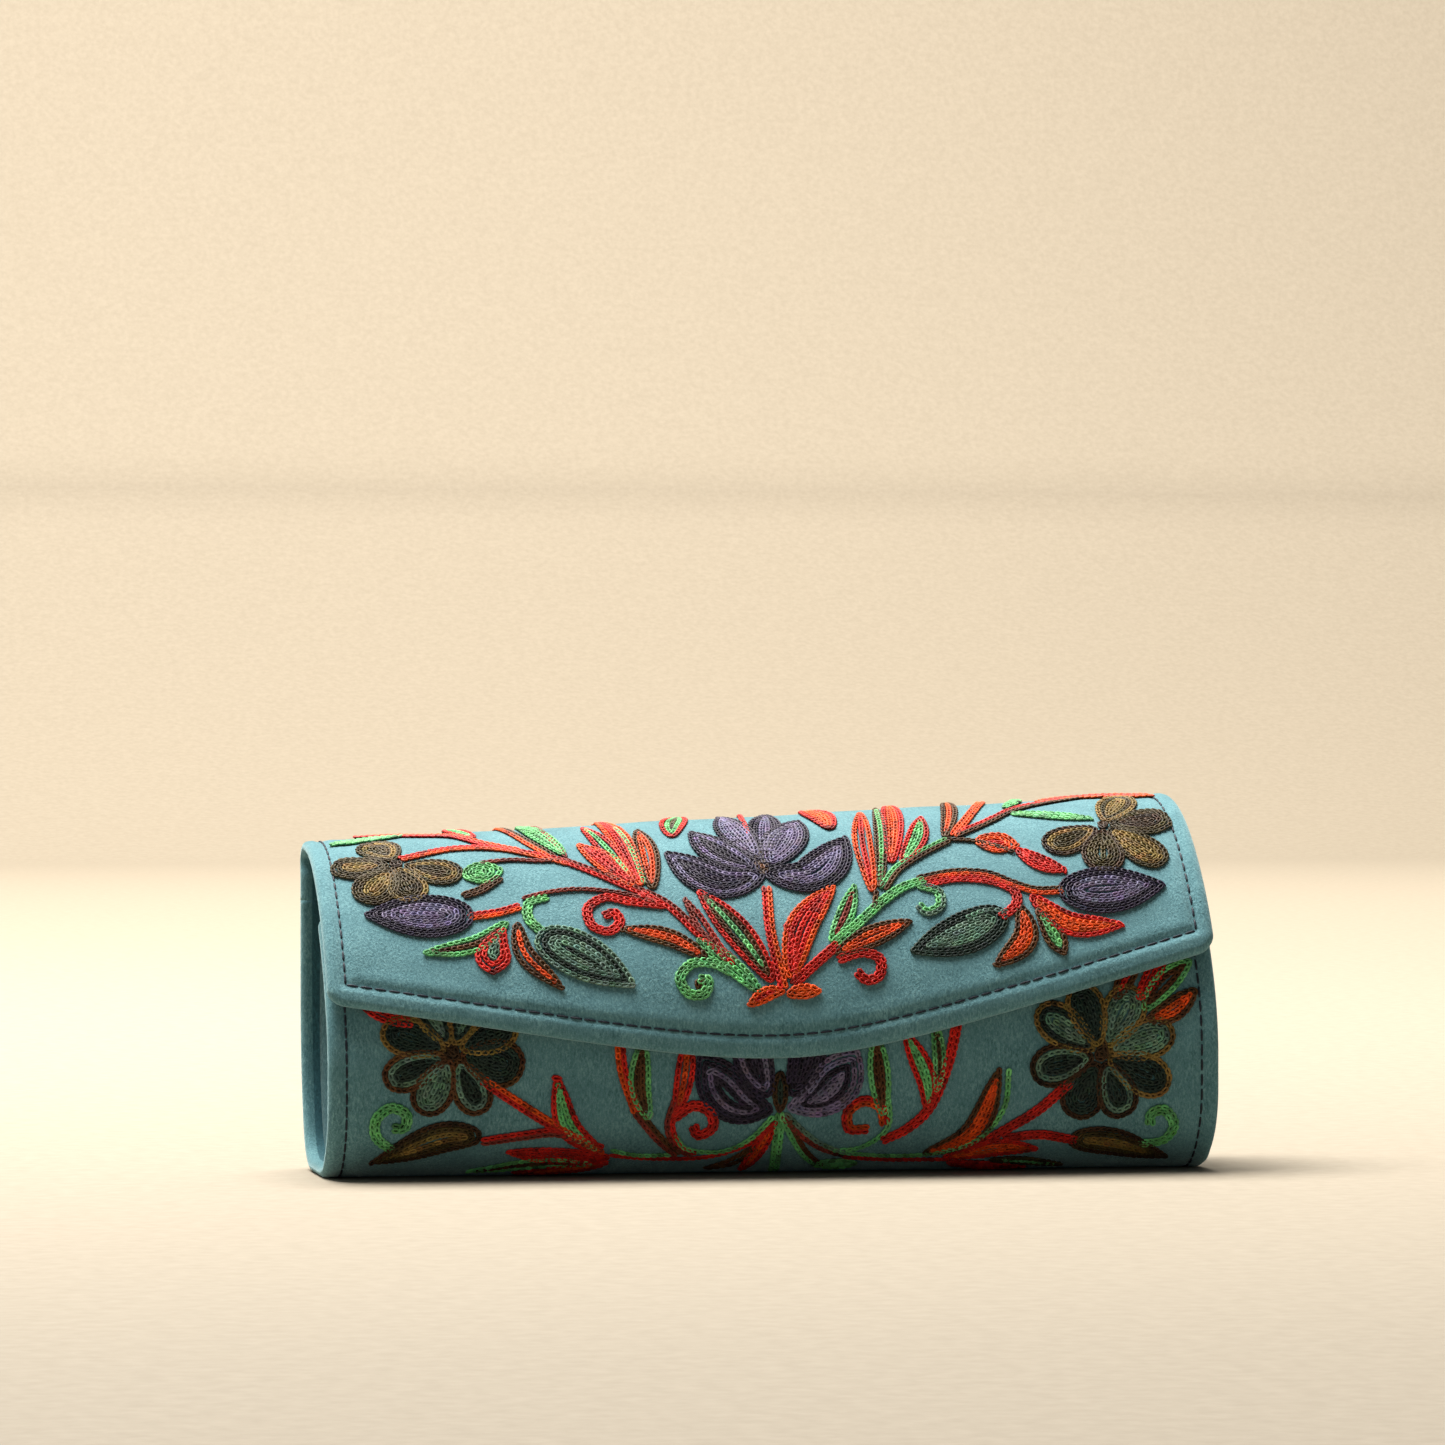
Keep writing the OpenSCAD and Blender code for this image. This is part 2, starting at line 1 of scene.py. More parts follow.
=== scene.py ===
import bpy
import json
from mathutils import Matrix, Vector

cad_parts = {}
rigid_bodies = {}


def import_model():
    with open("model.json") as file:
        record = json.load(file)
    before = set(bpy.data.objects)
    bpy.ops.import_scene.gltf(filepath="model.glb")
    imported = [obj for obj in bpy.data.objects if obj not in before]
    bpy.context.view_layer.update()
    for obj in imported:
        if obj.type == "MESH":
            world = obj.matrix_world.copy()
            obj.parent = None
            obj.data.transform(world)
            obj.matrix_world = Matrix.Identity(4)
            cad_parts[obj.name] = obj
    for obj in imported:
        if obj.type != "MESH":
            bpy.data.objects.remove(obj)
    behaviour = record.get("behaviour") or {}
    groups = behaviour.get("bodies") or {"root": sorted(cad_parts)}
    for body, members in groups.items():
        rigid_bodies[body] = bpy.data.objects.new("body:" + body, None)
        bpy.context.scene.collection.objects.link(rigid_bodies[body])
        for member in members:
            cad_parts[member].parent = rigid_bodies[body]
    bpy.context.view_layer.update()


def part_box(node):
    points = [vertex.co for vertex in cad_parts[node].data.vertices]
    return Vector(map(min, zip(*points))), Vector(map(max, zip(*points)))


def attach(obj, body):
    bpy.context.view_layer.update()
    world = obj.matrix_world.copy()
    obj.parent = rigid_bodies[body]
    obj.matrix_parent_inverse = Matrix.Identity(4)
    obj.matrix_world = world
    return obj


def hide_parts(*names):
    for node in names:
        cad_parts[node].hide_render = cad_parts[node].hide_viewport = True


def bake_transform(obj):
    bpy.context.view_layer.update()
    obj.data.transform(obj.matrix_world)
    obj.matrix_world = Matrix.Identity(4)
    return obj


bl_info = {
    "name": "Embroidered Velvet Spectacle Case",
    "version": (1, 0, 0),
    "blender": (4, 5, 0),
    "location": "View3D > Sidebar > Spectacle Case",
    "description": "Velvet, lining, gussets, topstitching, chain-stitch embroidery and snap",
    "category": "Add Mesh",
}

import json
import math

import bmesh
import bpy
import numpy as np
from mathutils import Vector

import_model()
MM = 0.001
PATH_STEP = 0.15
SEAM_STEP = 0.2


def srgb(red, green, blue):
    """A colour given from 0 to 255 as it looks, as the linear values that a shader takes."""
    shares = [value / 255 for value in (red, green, blue)]
    return tuple(c / 12.92 if c <= 0.04045 else ((c + 0.055) / 1.055) ** 2.4 for c in shares)


def colour_property(name, description, red, green, blue):
    return bpy.props.FloatVectorProperty(
        name=name, description=description, subtype="COLOR", size=3, min=0, max=1,
        default=srgb(red, green, blue),
    )


def length_property(name, description, default):
    return bpy.props.FloatProperty(
        name=name, description=description, default=default, min=0, unit="LENGTH", precision=5,
    )


# ---------------------------------------------------------------- what a user would change


class CaseSizes(bpy.types.PropertyGroup):
    length: length_property(
        "Length", "Length of the case from end to end",
        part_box("shell_cover")[1].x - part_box("shell_cover")[0].x)
    height: length_property("Height", "Height halfway along the case", 0.066)
    depth: length_property("Depth", "From the back wall to the front of the flap", 0.049)
    flare: bpy.props.FloatProperty(
        name="Flare", description="Share of the height that the right end gains", default=0.066)
    wall: length_property("Wall", "Thickness of a padded wall", 0.0024)
    fold_wall: length_property(
        "Fold", "Thickness of the soft fold, where there is no board", 0.0015)
    cloth: length_property("Cloth", "Thickness of the velvet and of the lining", 0.0005)
    grid: length_property("Grid", "Spacing of the velvet's mesh", 0.00076)
    pleat: length_property("Pleat", "How far each gusset folds in at the top", 0.0125)


class StitchSizes(bpy.types.PropertyGroup):
    inset: length_property("Inset", "Distance of the topstitching from the edge", 0.0034)
    pitch: length_property("Pitch", "Distance from one topstitch to the next", 0.0026)
    length: length_property("Length", "Length of a topstitch", 0.00238)
    thread: length_property("Thread", "Thickness of the topstitching thread", 0.00042)
    dip: length_property("Dip", "How deep the seam pulls into the velvet", 0.00042)
    link: length_property("Link", "Length of one loop of the chain stitch", 0.0016)
    link_pitch: length_property("Link pitch", "Distance from one loop to the next", 0.00122)
    row: length_property("Row", "Width of one row of chain stitch", 0.00112)


class VelvetColours(bpy.types.PropertyGroup):
    cover: colour_property("Cover", "Teal of the velvet", 88, 131, 139)
    # The deep and pale teals are painted shade and painted sheen, where the pile lies away from
    # the light and where it catches it.
    cover_pile_shade: colour_property("Cover, deep", "The velvet where the pile lies away", 61, 102, 110)
    cover_pile_sheen: colour_property(
        "Cover, pale", "The velvet where the pile catches light", 121, 166, 172)
    lining: colour_property("Lining", "Teal of the lining", 50, 88, 97)
    topstitch: colour_property("Topstitch", "Navy of the topstitching thread", 16, 24, 36)


class ThreadColours(bpy.types.PropertyGroup):
    red: colour_property("Red", "Red embroidery thread", 184, 34, 24)
    orange: colour_property("Orange", "Orange embroidery thread", 206, 74, 18)
    maroon: colour_property("Maroon", "Maroon embroidery thread", 122, 50, 40)
    green: colour_property("Green", "Light green embroidery thread", 100, 172, 108)
    forest: colour_property("Forest", "Dark green embroidery thread", 36, 52, 46)
    sage: colour_property("Sage", "Grey-green embroidery thread", 94, 124, 108)
    brown: colour_property("Brown", "Brown embroidery thread", 82, 53, 28)
    olive: colour_property("Olive", "Olive embroidery thread", 68, 57, 29)
    gold: colour_property("Gold", "Gold embroidery thread", 122, 99, 50)
    bark: colour_property("Bark", "Dark brown embroidery thread", 58, 40, 22)
    purple: colour_property("Purple", "Dark purple embroidery thread", 46, 40, 58)
    lavender: colour_property("Lavender", "Lavender embroidery thread", 106, 98, 126)


class StudioSettings(bpy.types.PropertyGroup):
    distance: length_property("Distance", "From the camera to the case", 1.2)
    eye: length_property("Eye height", "Height of the camera above the surface", 0.08415)
    turn: bpy.props.FloatProperty(
        name="Turn", description="How far the camera stands round to the left of the front",
        default=math.radians(10.4), subtype="ANGLE")
    shift_left: length_property(
        "Shift", "How far the camera stands to the left of the case", 0.00664)
    focal: bpy.props.FloatProperty(
        name="Focal length", description="Lens in millimetres, on a 36 mm square frame",
        default=158.6)


# ---------------------------------------------------------------- the shape of the case, in mm


class Chain:
    """Arcs and straights in the section, walked with the inside of the case on the left.

    A segment is (radius, degrees), or (0, length) for a straight.
    """

    def __init__(self, start, segments):
        self.radii = np.array([radius for radius, _ in segments], float)
        self.sizes = np.array([
            size if radius == 0 else radius * math.radians(size) for radius, size in segments])
        self.ends = np.cumsum(self.sizes)
        forward, up, heading = start[0], start[1], math.radians(start[2])
        states = []
        for radius, size in zip(self.radii, self.sizes):
            states.append((forward, up, heading))
            forward, up, heading = (float(x) for x in self.moved(
                forward, up, heading, radius, size))
        self.starts = np.array(states)

    @staticmethod
    def moved(forward, up, heading, radius, run):
        straight = radius == 0
        bend = np.where(straight, 1.0, radius)
        turned = np.where(straight, heading, heading + run / bend)
        return (
            forward + np.where(straight, run * np.cos(heading),
                               bend * (np.sin(turned) - np.sin(heading))),
            up + np.where(straight, run * np.sin(heading),
                          bend * (np.cos(heading) - np.cos(turned))),
            turned,
        )

    def at(self, run):
        """Forward, up and heading after run millimetres. It may be an array."""
        run = np.asarray(run, float)
        index = np.clip(np.searchsorted(self.ends, run), 0, len(self.sizes) - 1)
        before = self.ends[index] - self.sizes[index]
        forward, up, heading = self.starts[index].T if index.ndim == 1 else np.moveaxis(
            self.starts[index], -1, 0)
        return self.moved(forward, up, heading, self.radii[index], run - before)


def smooth_step(x, low, high):
    """0 below low, 1 above high, and a smooth rise between them."""
    t = np.clip((x - low) / (high - low), 0, 1)
    return t * t * (3 - 2 * t)


class Case:
    """The outer surface, as places (u along the case, s round the section from the flap's tip)."""

    START = (25, 20.6, 90)
    FLAP = [(33.2, 25), (63.2, 30), (35, 35), (4, 90)]
    BACK_CURVE, BACK_CORNER, BOTTOM, FRONT_CORNER = (60, 25), 12, 13.5, 15
    FRONT = [(0, 5.6), (30, 25), (60, 23)]
    TIP_REACH, TIP_ROUND, LEFT_SLOPE, RIGHT_SLOPE = 67.4, 6, 0.226, 0.284
    FRONT_FOLD_TURN = 25
    SEAM_BELOW_FOLD = 8.0
    CORNER_ROUND = 3.2
    FLAP_HEM = 0.9
    DEEPEST_RELIEF = 0.36
    SNAP_BELOW_CREASE = 48

    def __init__(self, sizes, stitch):
        self.half = sizes.length / MM / 2
        self.height = sizes.height / MM
        self.depth = sizes.depth / MM
        self.flare = sizes.flare
        self.wall = sizes.wall / MM
        self.fold_wall = sizes.fold_wall / MM
        self.cloth = sizes.cloth / MM
        self.grid = sizes.grid / MM
        self.pleat = sizes.pleat / MM
        self.inset = stitch.inset / MM
        self.dip = stitch.dip / MM
        flap = Chain(self.START, self.FLAP)
        self.crown, self.fold = flap.ends[2], flap.ends[3]
        back_f, back_z, _ = (float(x) for x in flap.at(self.fold))
        radius, turn = self.BACK_CURVE
        sine = math.sin(math.radians(turn))
        straight = back_z - radius * sine - self.BACK_CORNER * (1 - sine)
        body = [(0, straight), self.BACK_CURVE, (self.BACK_CORNER, 90 - turn), (0, self.BOTTOM),
                (self.FRONT_CORNER, 90)] + self.FRONT
        self.chain = Chain(self.START, self.FLAP + body)
        ends = self.chain.ends
        self.seam = self.fold + self.SEAM_BELOW_FOLD
        self.bottom_middle = ends[6] + self.BOTTOM / 2
        self.front_fold = ends[7] + self.FRONT_CORNER * math.radians(self.FRONT_FOLD_TURN)
        self.mouth = ends[-1]
        self.middle = (self.START[0] + back_f) / 2
        self.drawn_depth = self.START[0] - back_f
        self.drawn_height = back_z + self.FLAP[3][0]

    def placed(self, u, forward, up):
        """Metres in the row's frame, from millimetres along, forward and up in the section."""
        return np.stack([
            u + 0 * forward,
            (self.middle - forward) * self.depth / self.drawn_depth + 0 * u,
            up * self.height / self.drawn_height * (1 + self.flare * u / self.half),
        ], axis=-1) * MM

    def under(self, u, s, depth):
        """A point at a depth under the plain outer surface."""
        forward, up, heading = self.chain.at(s)
        return self.placed(u, forward - depth * np.sin(heading), up + depth * np.cos(heading))

    def flap_edge(self, u):
        """Where the flap's edge lies: two slopes that meet in a round tip."""
        run = np.where(u < 0, self.LEFT_SLOPE, self.RIGHT_SLOPE) * u
        tip = self.TIP_ROUND
        return self.crown - (self.TIP_REACH - np.sqrt(tip * tip + run * run) + tip)

    def from_edge(self, u, s):
        """Distance of a place on the velvet from its nearest free edge."""
        slope = np.where(u < 0, self.LEFT_SLOPE, self.RIGHT_SLOPE) * np.clip(np.abs(u) / 20, 0, 1)
        over_flap = (s - self.flap_edge(u)) / np.sqrt(1 + slope * slope) - self.FLAP_HEM
        over_body = self.mouth - s
        return np.minimum(self.half - np.abs(u), np.where(s < self.fold, over_flap, over_body))

    def thickness(self, s):
        """The wall thins to cloth and lining where it folds."""
        nearest = np.minimum(np.abs(s - self.fold), np.abs(s - self.front_fold))
        return self.fold_wall + (self.wall - self.fold_wall) * smooth_step(nearest, 0.4, 3)

    def relief(self, u, s):
        """Depth of the padded velvet under the plain surface: the seam's dip and soft waves."""
        e = self.from_edge(u, s)
        seam = self.dip * np.exp(-((e - self.inset) / 0.62) ** 2)
        roll = -0.16 * np.exp(-((e - 0.5 * self.inset) / 0.8) ** 2)
        swell = -0.14 * np.exp(-((e - self.inset - 2.2) / 1.4) ** 2)
        _, up, _ = self.chain.at(s)
        free = smooth_step(up, 0.8, 7)
        waves = (
            0.10 * np.sin(u / 7.3 + 0.6 * np.sin(s / 9.1))
            * np.sin(s / 8.2 + 0.8 * np.sin(u / 11.7))
            + 0.07 * np.sin(u / 3.9 + s / 6.3 + 1.3) * np.sin(s / 4.4 - u / 9.7)
            + 0.09 * np.sin(u / 1.5 + 2.1 * np.sin(u / 8.3)) * np.sin(s / 5.3 + u / 6.1)
            * np.exp(-((e - 0.6 * self.inset) / 2.4) ** 2)
        )
        covered = 0.3 * smooth_step(s, self.mouth - 38, self.mouth - 28)
        depth = (seam + roll + swell + waves) * (0.25 + 0.75 * free) + covered
        return np.minimum(depth, self.DEEPEST_RELIEF)

    def on_velvet(self, u, s, lift=0.0):
        """A point on the velvet, or that far above it."""
        return self.under(u, s, self.relief(u, s) - lift)

    def outwards(self, u, s):
        """Unit vectors square to the velvet."""
        step = 0.4
        along = self.on_velvet(u + step, s) - self.on_velvet(u - step, s)
        round_it = self.on_velvet(u, s + step) - self.on_velvet(u, s - step)
        along /= np.linalg.norm(along, axis=-1, keepdims=True)
        round_it -= along * (along * round_it).sum(-1, keepdims=True)
        round_it /= np.linalg.norm(round_it, axis=-1, keepdims=True)
        return np.cross(along, round_it)

    def axes_along(self, u, s, way, reach):
        """Unit vectors ahead, to the side and up, for thread that runs a way over the velvet."""
        ahead = (self.on_velvet(u + reach * way[:, 0], s + reach * way[:, 1])
                 - self.on_velvet(u - reach * way[:, 0], s - reach * way[:, 1]))
        ahead /= np.linalg.norm(ahead, axis=1, keepdims=True)
        side = np.cross(self.outwards(u, s), ahead)
        side /= np.linalg.norm(side, axis=1, keepdims=True)
        return ahead, side, np.cross(ahead, side)

    def section_point(self, forward, up):
        """A point of the section halfway along the case."""
        return Vector(self.placed(np.float64(0), np.float64(forward), np.float64(up)))

    def flap_zone(self):
        """Start and end of the bend between the shell and the flap."""
        forward, up, _ = (float(x) for x in self.chain.at(self.fold))
        across = np.array([0.9, 0.436])
        start = np.array([forward, up]) - 1.5 * across
        end = np.array([forward, up]) + 5.0 * across
        return self.section_point(*start), self.section_point(*end)

    def front_zone(self):
        """Start and end of the bend between the shell and the front."""
        forward, up, heading = (float(x) for x in self.chain.at(self.front_fold))
        across = 4.0 * np.array([math.cos(heading), math.sin(heading)])
        here = np.array([forward, up])
        return self.section_point(*(here - across)), self.section_point(*(here + across))

    def gusset_zone(self):
        """Start and end of the stretch that a gusset opens over, square to the front wall."""
        across = np.array([0.905, 0.425])
        return self.section_point(*(5 * across)), self.section_point(*(21 * across))


def the_case(context):
    return Case(context.scene.case_sizes, context.scene.stitch_sizes)


# ---------------------------------------------------------------- mesh helpers


def new_piece(name, points, faces, look):
    """A smooth mesh object at the origin, from points in metres, in one material."""
    mesh = bpy.data.meshes.new(name)
    mesh.from_pydata(points.reshape(-1, 3).tolist(), [], faces)
    mesh.materials.append(look)
    piece = bpy.data.objects.new(name, mesh)
    bpy.context.scene.collection.objects.link(piece)
    mesh.polygons.foreach_set("use_smooth", np.ones(len(mesh.polygons), bool))
    mesh.update()
    return piece


def only(piece):
    """Selects one piece and nothing else."""
    bpy.ops.object.select_all(action="DESELECT")
    piece.select_set(True)
    bpy.context.view_layer.objects.active = piece


def apply_modifier(piece, kind, **settings):
    """Adds a modifier and applies it, as by hand."""
    only(piece)
    modifier = piece.modifiers.new(kind.title(), kind)
    for key, value in settings.items():
        setattr(modifier, key, value)
    bpy.ops.object.modifier_apply(modifier=modifier.name)


def grid_faces(columns, rows):
    """Quads between the points of a grid, which are numbered column by column."""
    i, j = np.meshgrid(np.arange(columns - 1), np.arange(rows - 1), indexing="ij")
    corner = (i * rows + j).ravel()
    return np.stack([corner, corner + 1, corner + rows + 1, corner + rows], axis=1).tolist()


def face_outwards(case, piece):
    """Turns an open sheet round if its faces look towards the middle of the case."""
    mesh = piece.data
    normals = np.zeros(len(mesh.polygons) * 3)
    centres = np.zeros(len(mesh.polygons) * 3)
    mesh.polygons.foreach_get("normal", normals)
    mesh.polygons.foreach_get("center", centres)
    out = centres.reshape(-1, 3) - [0, 0, 0.5 * case.height * MM]
    out[:, 0] = 0
    if (normals.reshape(-1, 3) * out).sum() < 0:
        mesh.flip_normals()


def copies(template, places, axes, lengths):
    """The points of one shape set down at many places, each stretched to its own length.

    axes are the directions that the shape's own X, Y and Z take at each place.
    """
    shape = np.repeat(template[None], len(places), axis=0)
    shape[:, :, 0] *= lengths[:, None]
    return places[:, None, :] + sum(
        shape[:, :, k, None] * axes[k][:, None, :] for k in range(3))


# ---------------------------------------------------------------- shaders


class Socket:
    """A shader output that can be added, multiplied and so on, which adds Math nodes."""

    def __init__(self, shader, socket):
        self.shader, self.socket = shader, socket

    def maths(self, operation, a, b):
        return self.shader.node("ShaderNodeMath", {"operation": operation}, {0: a, 1: b})

    def __add__(self, other):
        return self.maths("ADD", self, other)

    __radd__ = __add__

    def __sub__(self, other):
        return self.maths("SUBTRACT", self, other)

    def __rsub__(self, other):
        return self.maths("SUBTRACT", other, self)

    def __mul__(self, other):
        return self.maths("MULTIPLY", self, other)

    __rmul__ = __mul__


class Shader:
    """One material's nodes."""

    def __init__(self, name):
        self.material = bpy.data.materials.new(name)
        self.material.use_nodes = True
        self.tree = self.material.node_tree
        self.tree.nodes.clear()
        self.bsdf = self.tree.nodes.new("ShaderNodeBsdfPrincipled")
        output = self.tree.nodes.new("ShaderNodeOutputMaterial")
        self.tree.links.new(self.bsdf.outputs[0], output.inputs[0])

    def node(self, kind, settings=None, inputs=None, output=0):
        """Adds a node: its settings first, then the values or links of its sockets."""
        node = self.tree.nodes.new(kind)
        for key, value in (settings or {}).items():
            if key == "stops":
                ramp = node.color_ramp
                while len(ramp.elements) < len(value):
                    ramp.elements.new(0.5)
                for element, (place, colour) in zip(ramp.elements, value):
                    element.position = place
                    element.color = (*colour, 1)
            else:
                setattr(node, key, value)
        for key, value in (inputs or {}).items():
            self.set(node.inputs[key], value)
        return Socket(self, node.outputs[output])

    def set(self, target, value):
        if isinstance(value, Socket):
            self.tree.links.new(value.socket, target)
        elif hasattr(value, "__len__") and len(value) == 3 and target.type == "RGBA":
            target.default_value = (*value, 1)
        else:
            target.default_value = value

    def surface(self, **values):
        """Sets the sockets of the Principled shader, named with underscores for spaces."""
        for key, value in values.items():
            self.set(self.bsdf.inputs[key.replace("_", " ")], value)
        return self.material

    def place(self):
        return self.node("ShaderNodeTexCoord", output="Object")

    def turned(self, place, rotation, scale):
        return self.node(
            "ShaderNodeMapping", None,
            {"Vector": place, "Rotation": rotation, "Scale": scale})

    def noise(self, place, scale, detail=2.0, rough=0.5, twist=0.0):
        return self.node(
            "ShaderNodeTexNoise", None,
            {"Vector": place, "Scale": scale, "Detail": detail, "Roughness": rough,
             "Distortion": twist}, output="Fac")

    def ramp(self, value, *stops):
        return self.node("ShaderNodeValToRGB", {"stops": stops}, {0: value}, output="Color")

    def tinted(self, colour, value):
        """A colour made lighter or darker by a value round 1."""
        return self.node(
            "ShaderNodeVectorMath", {"operation": "SCALE"}, {0: colour, "Scale": value})

    def bump(self, height, distance, strength):
        return self.node("ShaderNodeBump", None, {
            "Height": height, "Distance": distance, "Strength": strength})


def scaled(colour, factor):
    """A colour made lighter or darker, as a plain value."""
    return tuple(min(1.0, c * factor) for c in colour)


def velvet_material(name, mid, deep, pale, sheen=0.5):
    """Short pile that has been stroked about: fine streaks and soft clouds, in tones that hold
    painted shade and painted sheen of the pile, and a sheen.
    """
    sh = Shader(name)
    place = sh.place()
    lay = sh.noise(place, 55, 1.0, 0.5)
    left = sh.noise(sh.turned(place, (0.2, 0.6, 0.3), (1.0, 1.0, 0.42)), 2600, 2.0, 0.6, 0.5)
    right = sh.noise(sh.turned(place, (0.1, -0.5, -0.2), (1.0, 1.0, 0.42)), 2750, 2.0, 0.6, 0.5)
    fine = sh.noise(place, 5200, 2.0, 0.6)
    cloud = sh.noise(place, 150, 2.0, 0.5)
    pick = sh.ramp(lay, (0.42, (0, 0, 0)), (0.58, (1, 1, 1)))
    streak = left * (1 - pick) + right * pick
    shade = streak * 0.56 + cloud * 0.16 + fine * 0.28
    # deep and pale are painted shade and painted sheen of the pile, laid over its random streaks
    # and clouds
    colour = sh.ramp(shade, (0.34, deep), (0.5, mid), (0.67, pale))
    relief = streak * 0.75 + fine * 0.25
    return sh.surface(
        Base_Color=colour, Roughness=0.92, Specular_IOR_Level=0.12,
        Sheen_Weight=sheen, Sheen_Roughness=0.45, Sheen_Tint=(0.7, 0.96, 1.0, 1),
        Normal=sh.bump(relief, 0.0003, 0.7))


def thread_material(name, gloss, sheen):
    """Twisted thread. The colour of each loop, with the painted shade of the pad inside it, is in
    the piece's own attribute.
    """
    sh = Shader(name)
    place = sh.place()
    dye = sh.node("ShaderNodeAttribute", {"attribute_name": "dye"}, output="Color")
    fibre = sh.noise(sh.turned(place, (0.5, 0.7, 0.4), (1, 1, 0.35)), 6500, 2.0, 0.6)
    return sh.surface(
        Base_Color=sh.tinted(dye, fibre * 0.7 + 0.65), Roughness=gloss, Specular_IOR_Level=0.2,
        Sheen_Weight=sheen, Sheen_Roughness=0.4, Normal=sh.bump(fibre, 0.00012, 0.6))


def topstitch_material(name, colour):
    sh = Shader(name)
    place = sh.place()
    fibre = sh.noise(sh.turned(place, (0.5, 0.7, 0.4), (1, 1, 0.35)), 5200, 2.0, 0.6)
    return sh.surface(
        Base_Color=sh.ramp(fibre, (0.3, scaled(colour, 0.6)), (0.75, scaled(colour, 2.6))),
        Roughness=0.6, Specular_IOR_Level=0.35, Normal=sh.bump(fibre, 0.0001, 0.6))


def metal_material(name, colour, rough):
    """Plated sheet steel, with fine scratches and a little tarnish."""
    sh = Shader(name)
    place = sh.place()
    scratch = sh.noise(sh.turned(place, (0, 0, 0.5), (1, 0.08, 1)), 3000, 3.0, 0.6)
    tarnish = sh.noise(place, 420, 3.0, 0.6)
    return sh.surface(
        Base_Color=sh.ramp(tarnish, (0.3, scaled(colour, 0.72)), (0.6, colour)), Metallic=1.0,
        Roughness=scratch * 0.22 + rough, Normal=sh.bump(scratch, 0.00002, 0.4))


def foam_material(name, colour):
    sh = Shader(name)
    cells = sh.noise(sh.place(), 3200, 3.0, 0.7)
    return sh.surface(
        Base_Color=sh.ramp(cells, (0.35, scaled(colour, 0.7)), (0.6, colour)), Roughness=0.95,
        Normal=sh.bump(cells, 0.0002, 0.8))


def board_material(name, colour):
    """Pressed paper board, with its long grain and specks."""
    sh = Shader(name)
    place = sh.place()
    grain = sh.noise(sh.turned(place, (0, 0, 0), (0.2, 1, 1)), 1400, 3.0, 0.6)
    specks = sh.noise(place, 2600, 1.0, 0.5)
    fleck = grain * 0.7 + specks * 0.3
    return sh.surface(
        Base_Color=sh.ramp(fleck, (0.3, scaled(colour, 0.66)), (0.65, colour)),
        Roughness=0.88, Normal=sh.bump(grain, 0.00008, 0.5))


def material(name):
    """A material of the case by its name. Each is made once, when it is first asked for."""
    if name in bpy.data.materials:
        return bpy.data.materials[name]
    look = bpy.context.scene.velvet_colours
    makers = {
        "velvet": lambda: velvet_material(
            "velvet", tuple(look.cover), tuple(look.cover_pile_shade), tuple(look.cover_pile_sheen)),
        # lining_pile: the lining's teal at 0.62 and 1.6 gives painted shade and painted sheen of
        # its pile
        "lining_pile": lambda: velvet_material(
            "lining_pile", tuple(look.lining), scaled(look.lining, 0.62),
            scaled(look.lining, 1.6), sheen=0.3),
        # the gusset's velvet is the cover's velvet darkened to 0.62: painted shade for the recess
        # between the walls
        "gusset_velvet": lambda: velvet_material(
            "gusset_velvet", scaled(look.cover, 0.62), scaled(look.cover_pile_shade, 0.62),
            scaled(look.cover_pile_sheen, 0.62), sheen=0.16),
        "embroidery_thread": lambda: thread_material("embroidery_thread", 0.5, 0.0),
        "topstitch_thread": lambda: topstitch_material("topstitch_thread", tuple(look.topstitch)),
        "plated_steel": lambda: metal_material("plated_steel", srgb(186, 186, 190), 0.22),
        "magnet_face": lambda: metal_material("magnet_face", srgb(96, 96, 102), 0.38),
        "foam_sheet": lambda: foam_material("foam_sheet", srgb(238, 232, 218)),
        "paper_board": lambda: board_material("paper_board", srgb(190, 170, 130)),
    }
    return makers[name]()


# ---------------------------------------------------------------- velvet and lining


def rounded_corner(case, u, s, edge, inset, towards):
    """Moves the places near the two free corners of a panel onto a round outline.

    out and on run from 0, where the rounding starts, to 1 at the end and at the free edge.
    """
    size = case.CORNER_ROUND - inset
    out = (np.abs(u) - (case.half - case.CORNER_ROUND)) / size
    on = (towards * (s - edge) + case.CORNER_ROUND) / size
    near = (out > 0) & (on > 0)
    out, on = np.clip(out, 0, 1), np.clip(on, 0, 1)
    round_out, round_on = out * np.sqrt(1 - on * on / 2), on * np.sqrt(1 - out * out / 2)
    new_u = np.sign(u) * (case.half - case.CORNER_ROUND + round_out * size)
    new_s = edge + towards * (round_on * size - case.CORNER_ROUND)
    return np.where(near, new_u, u), np.where(near, new_s, s)


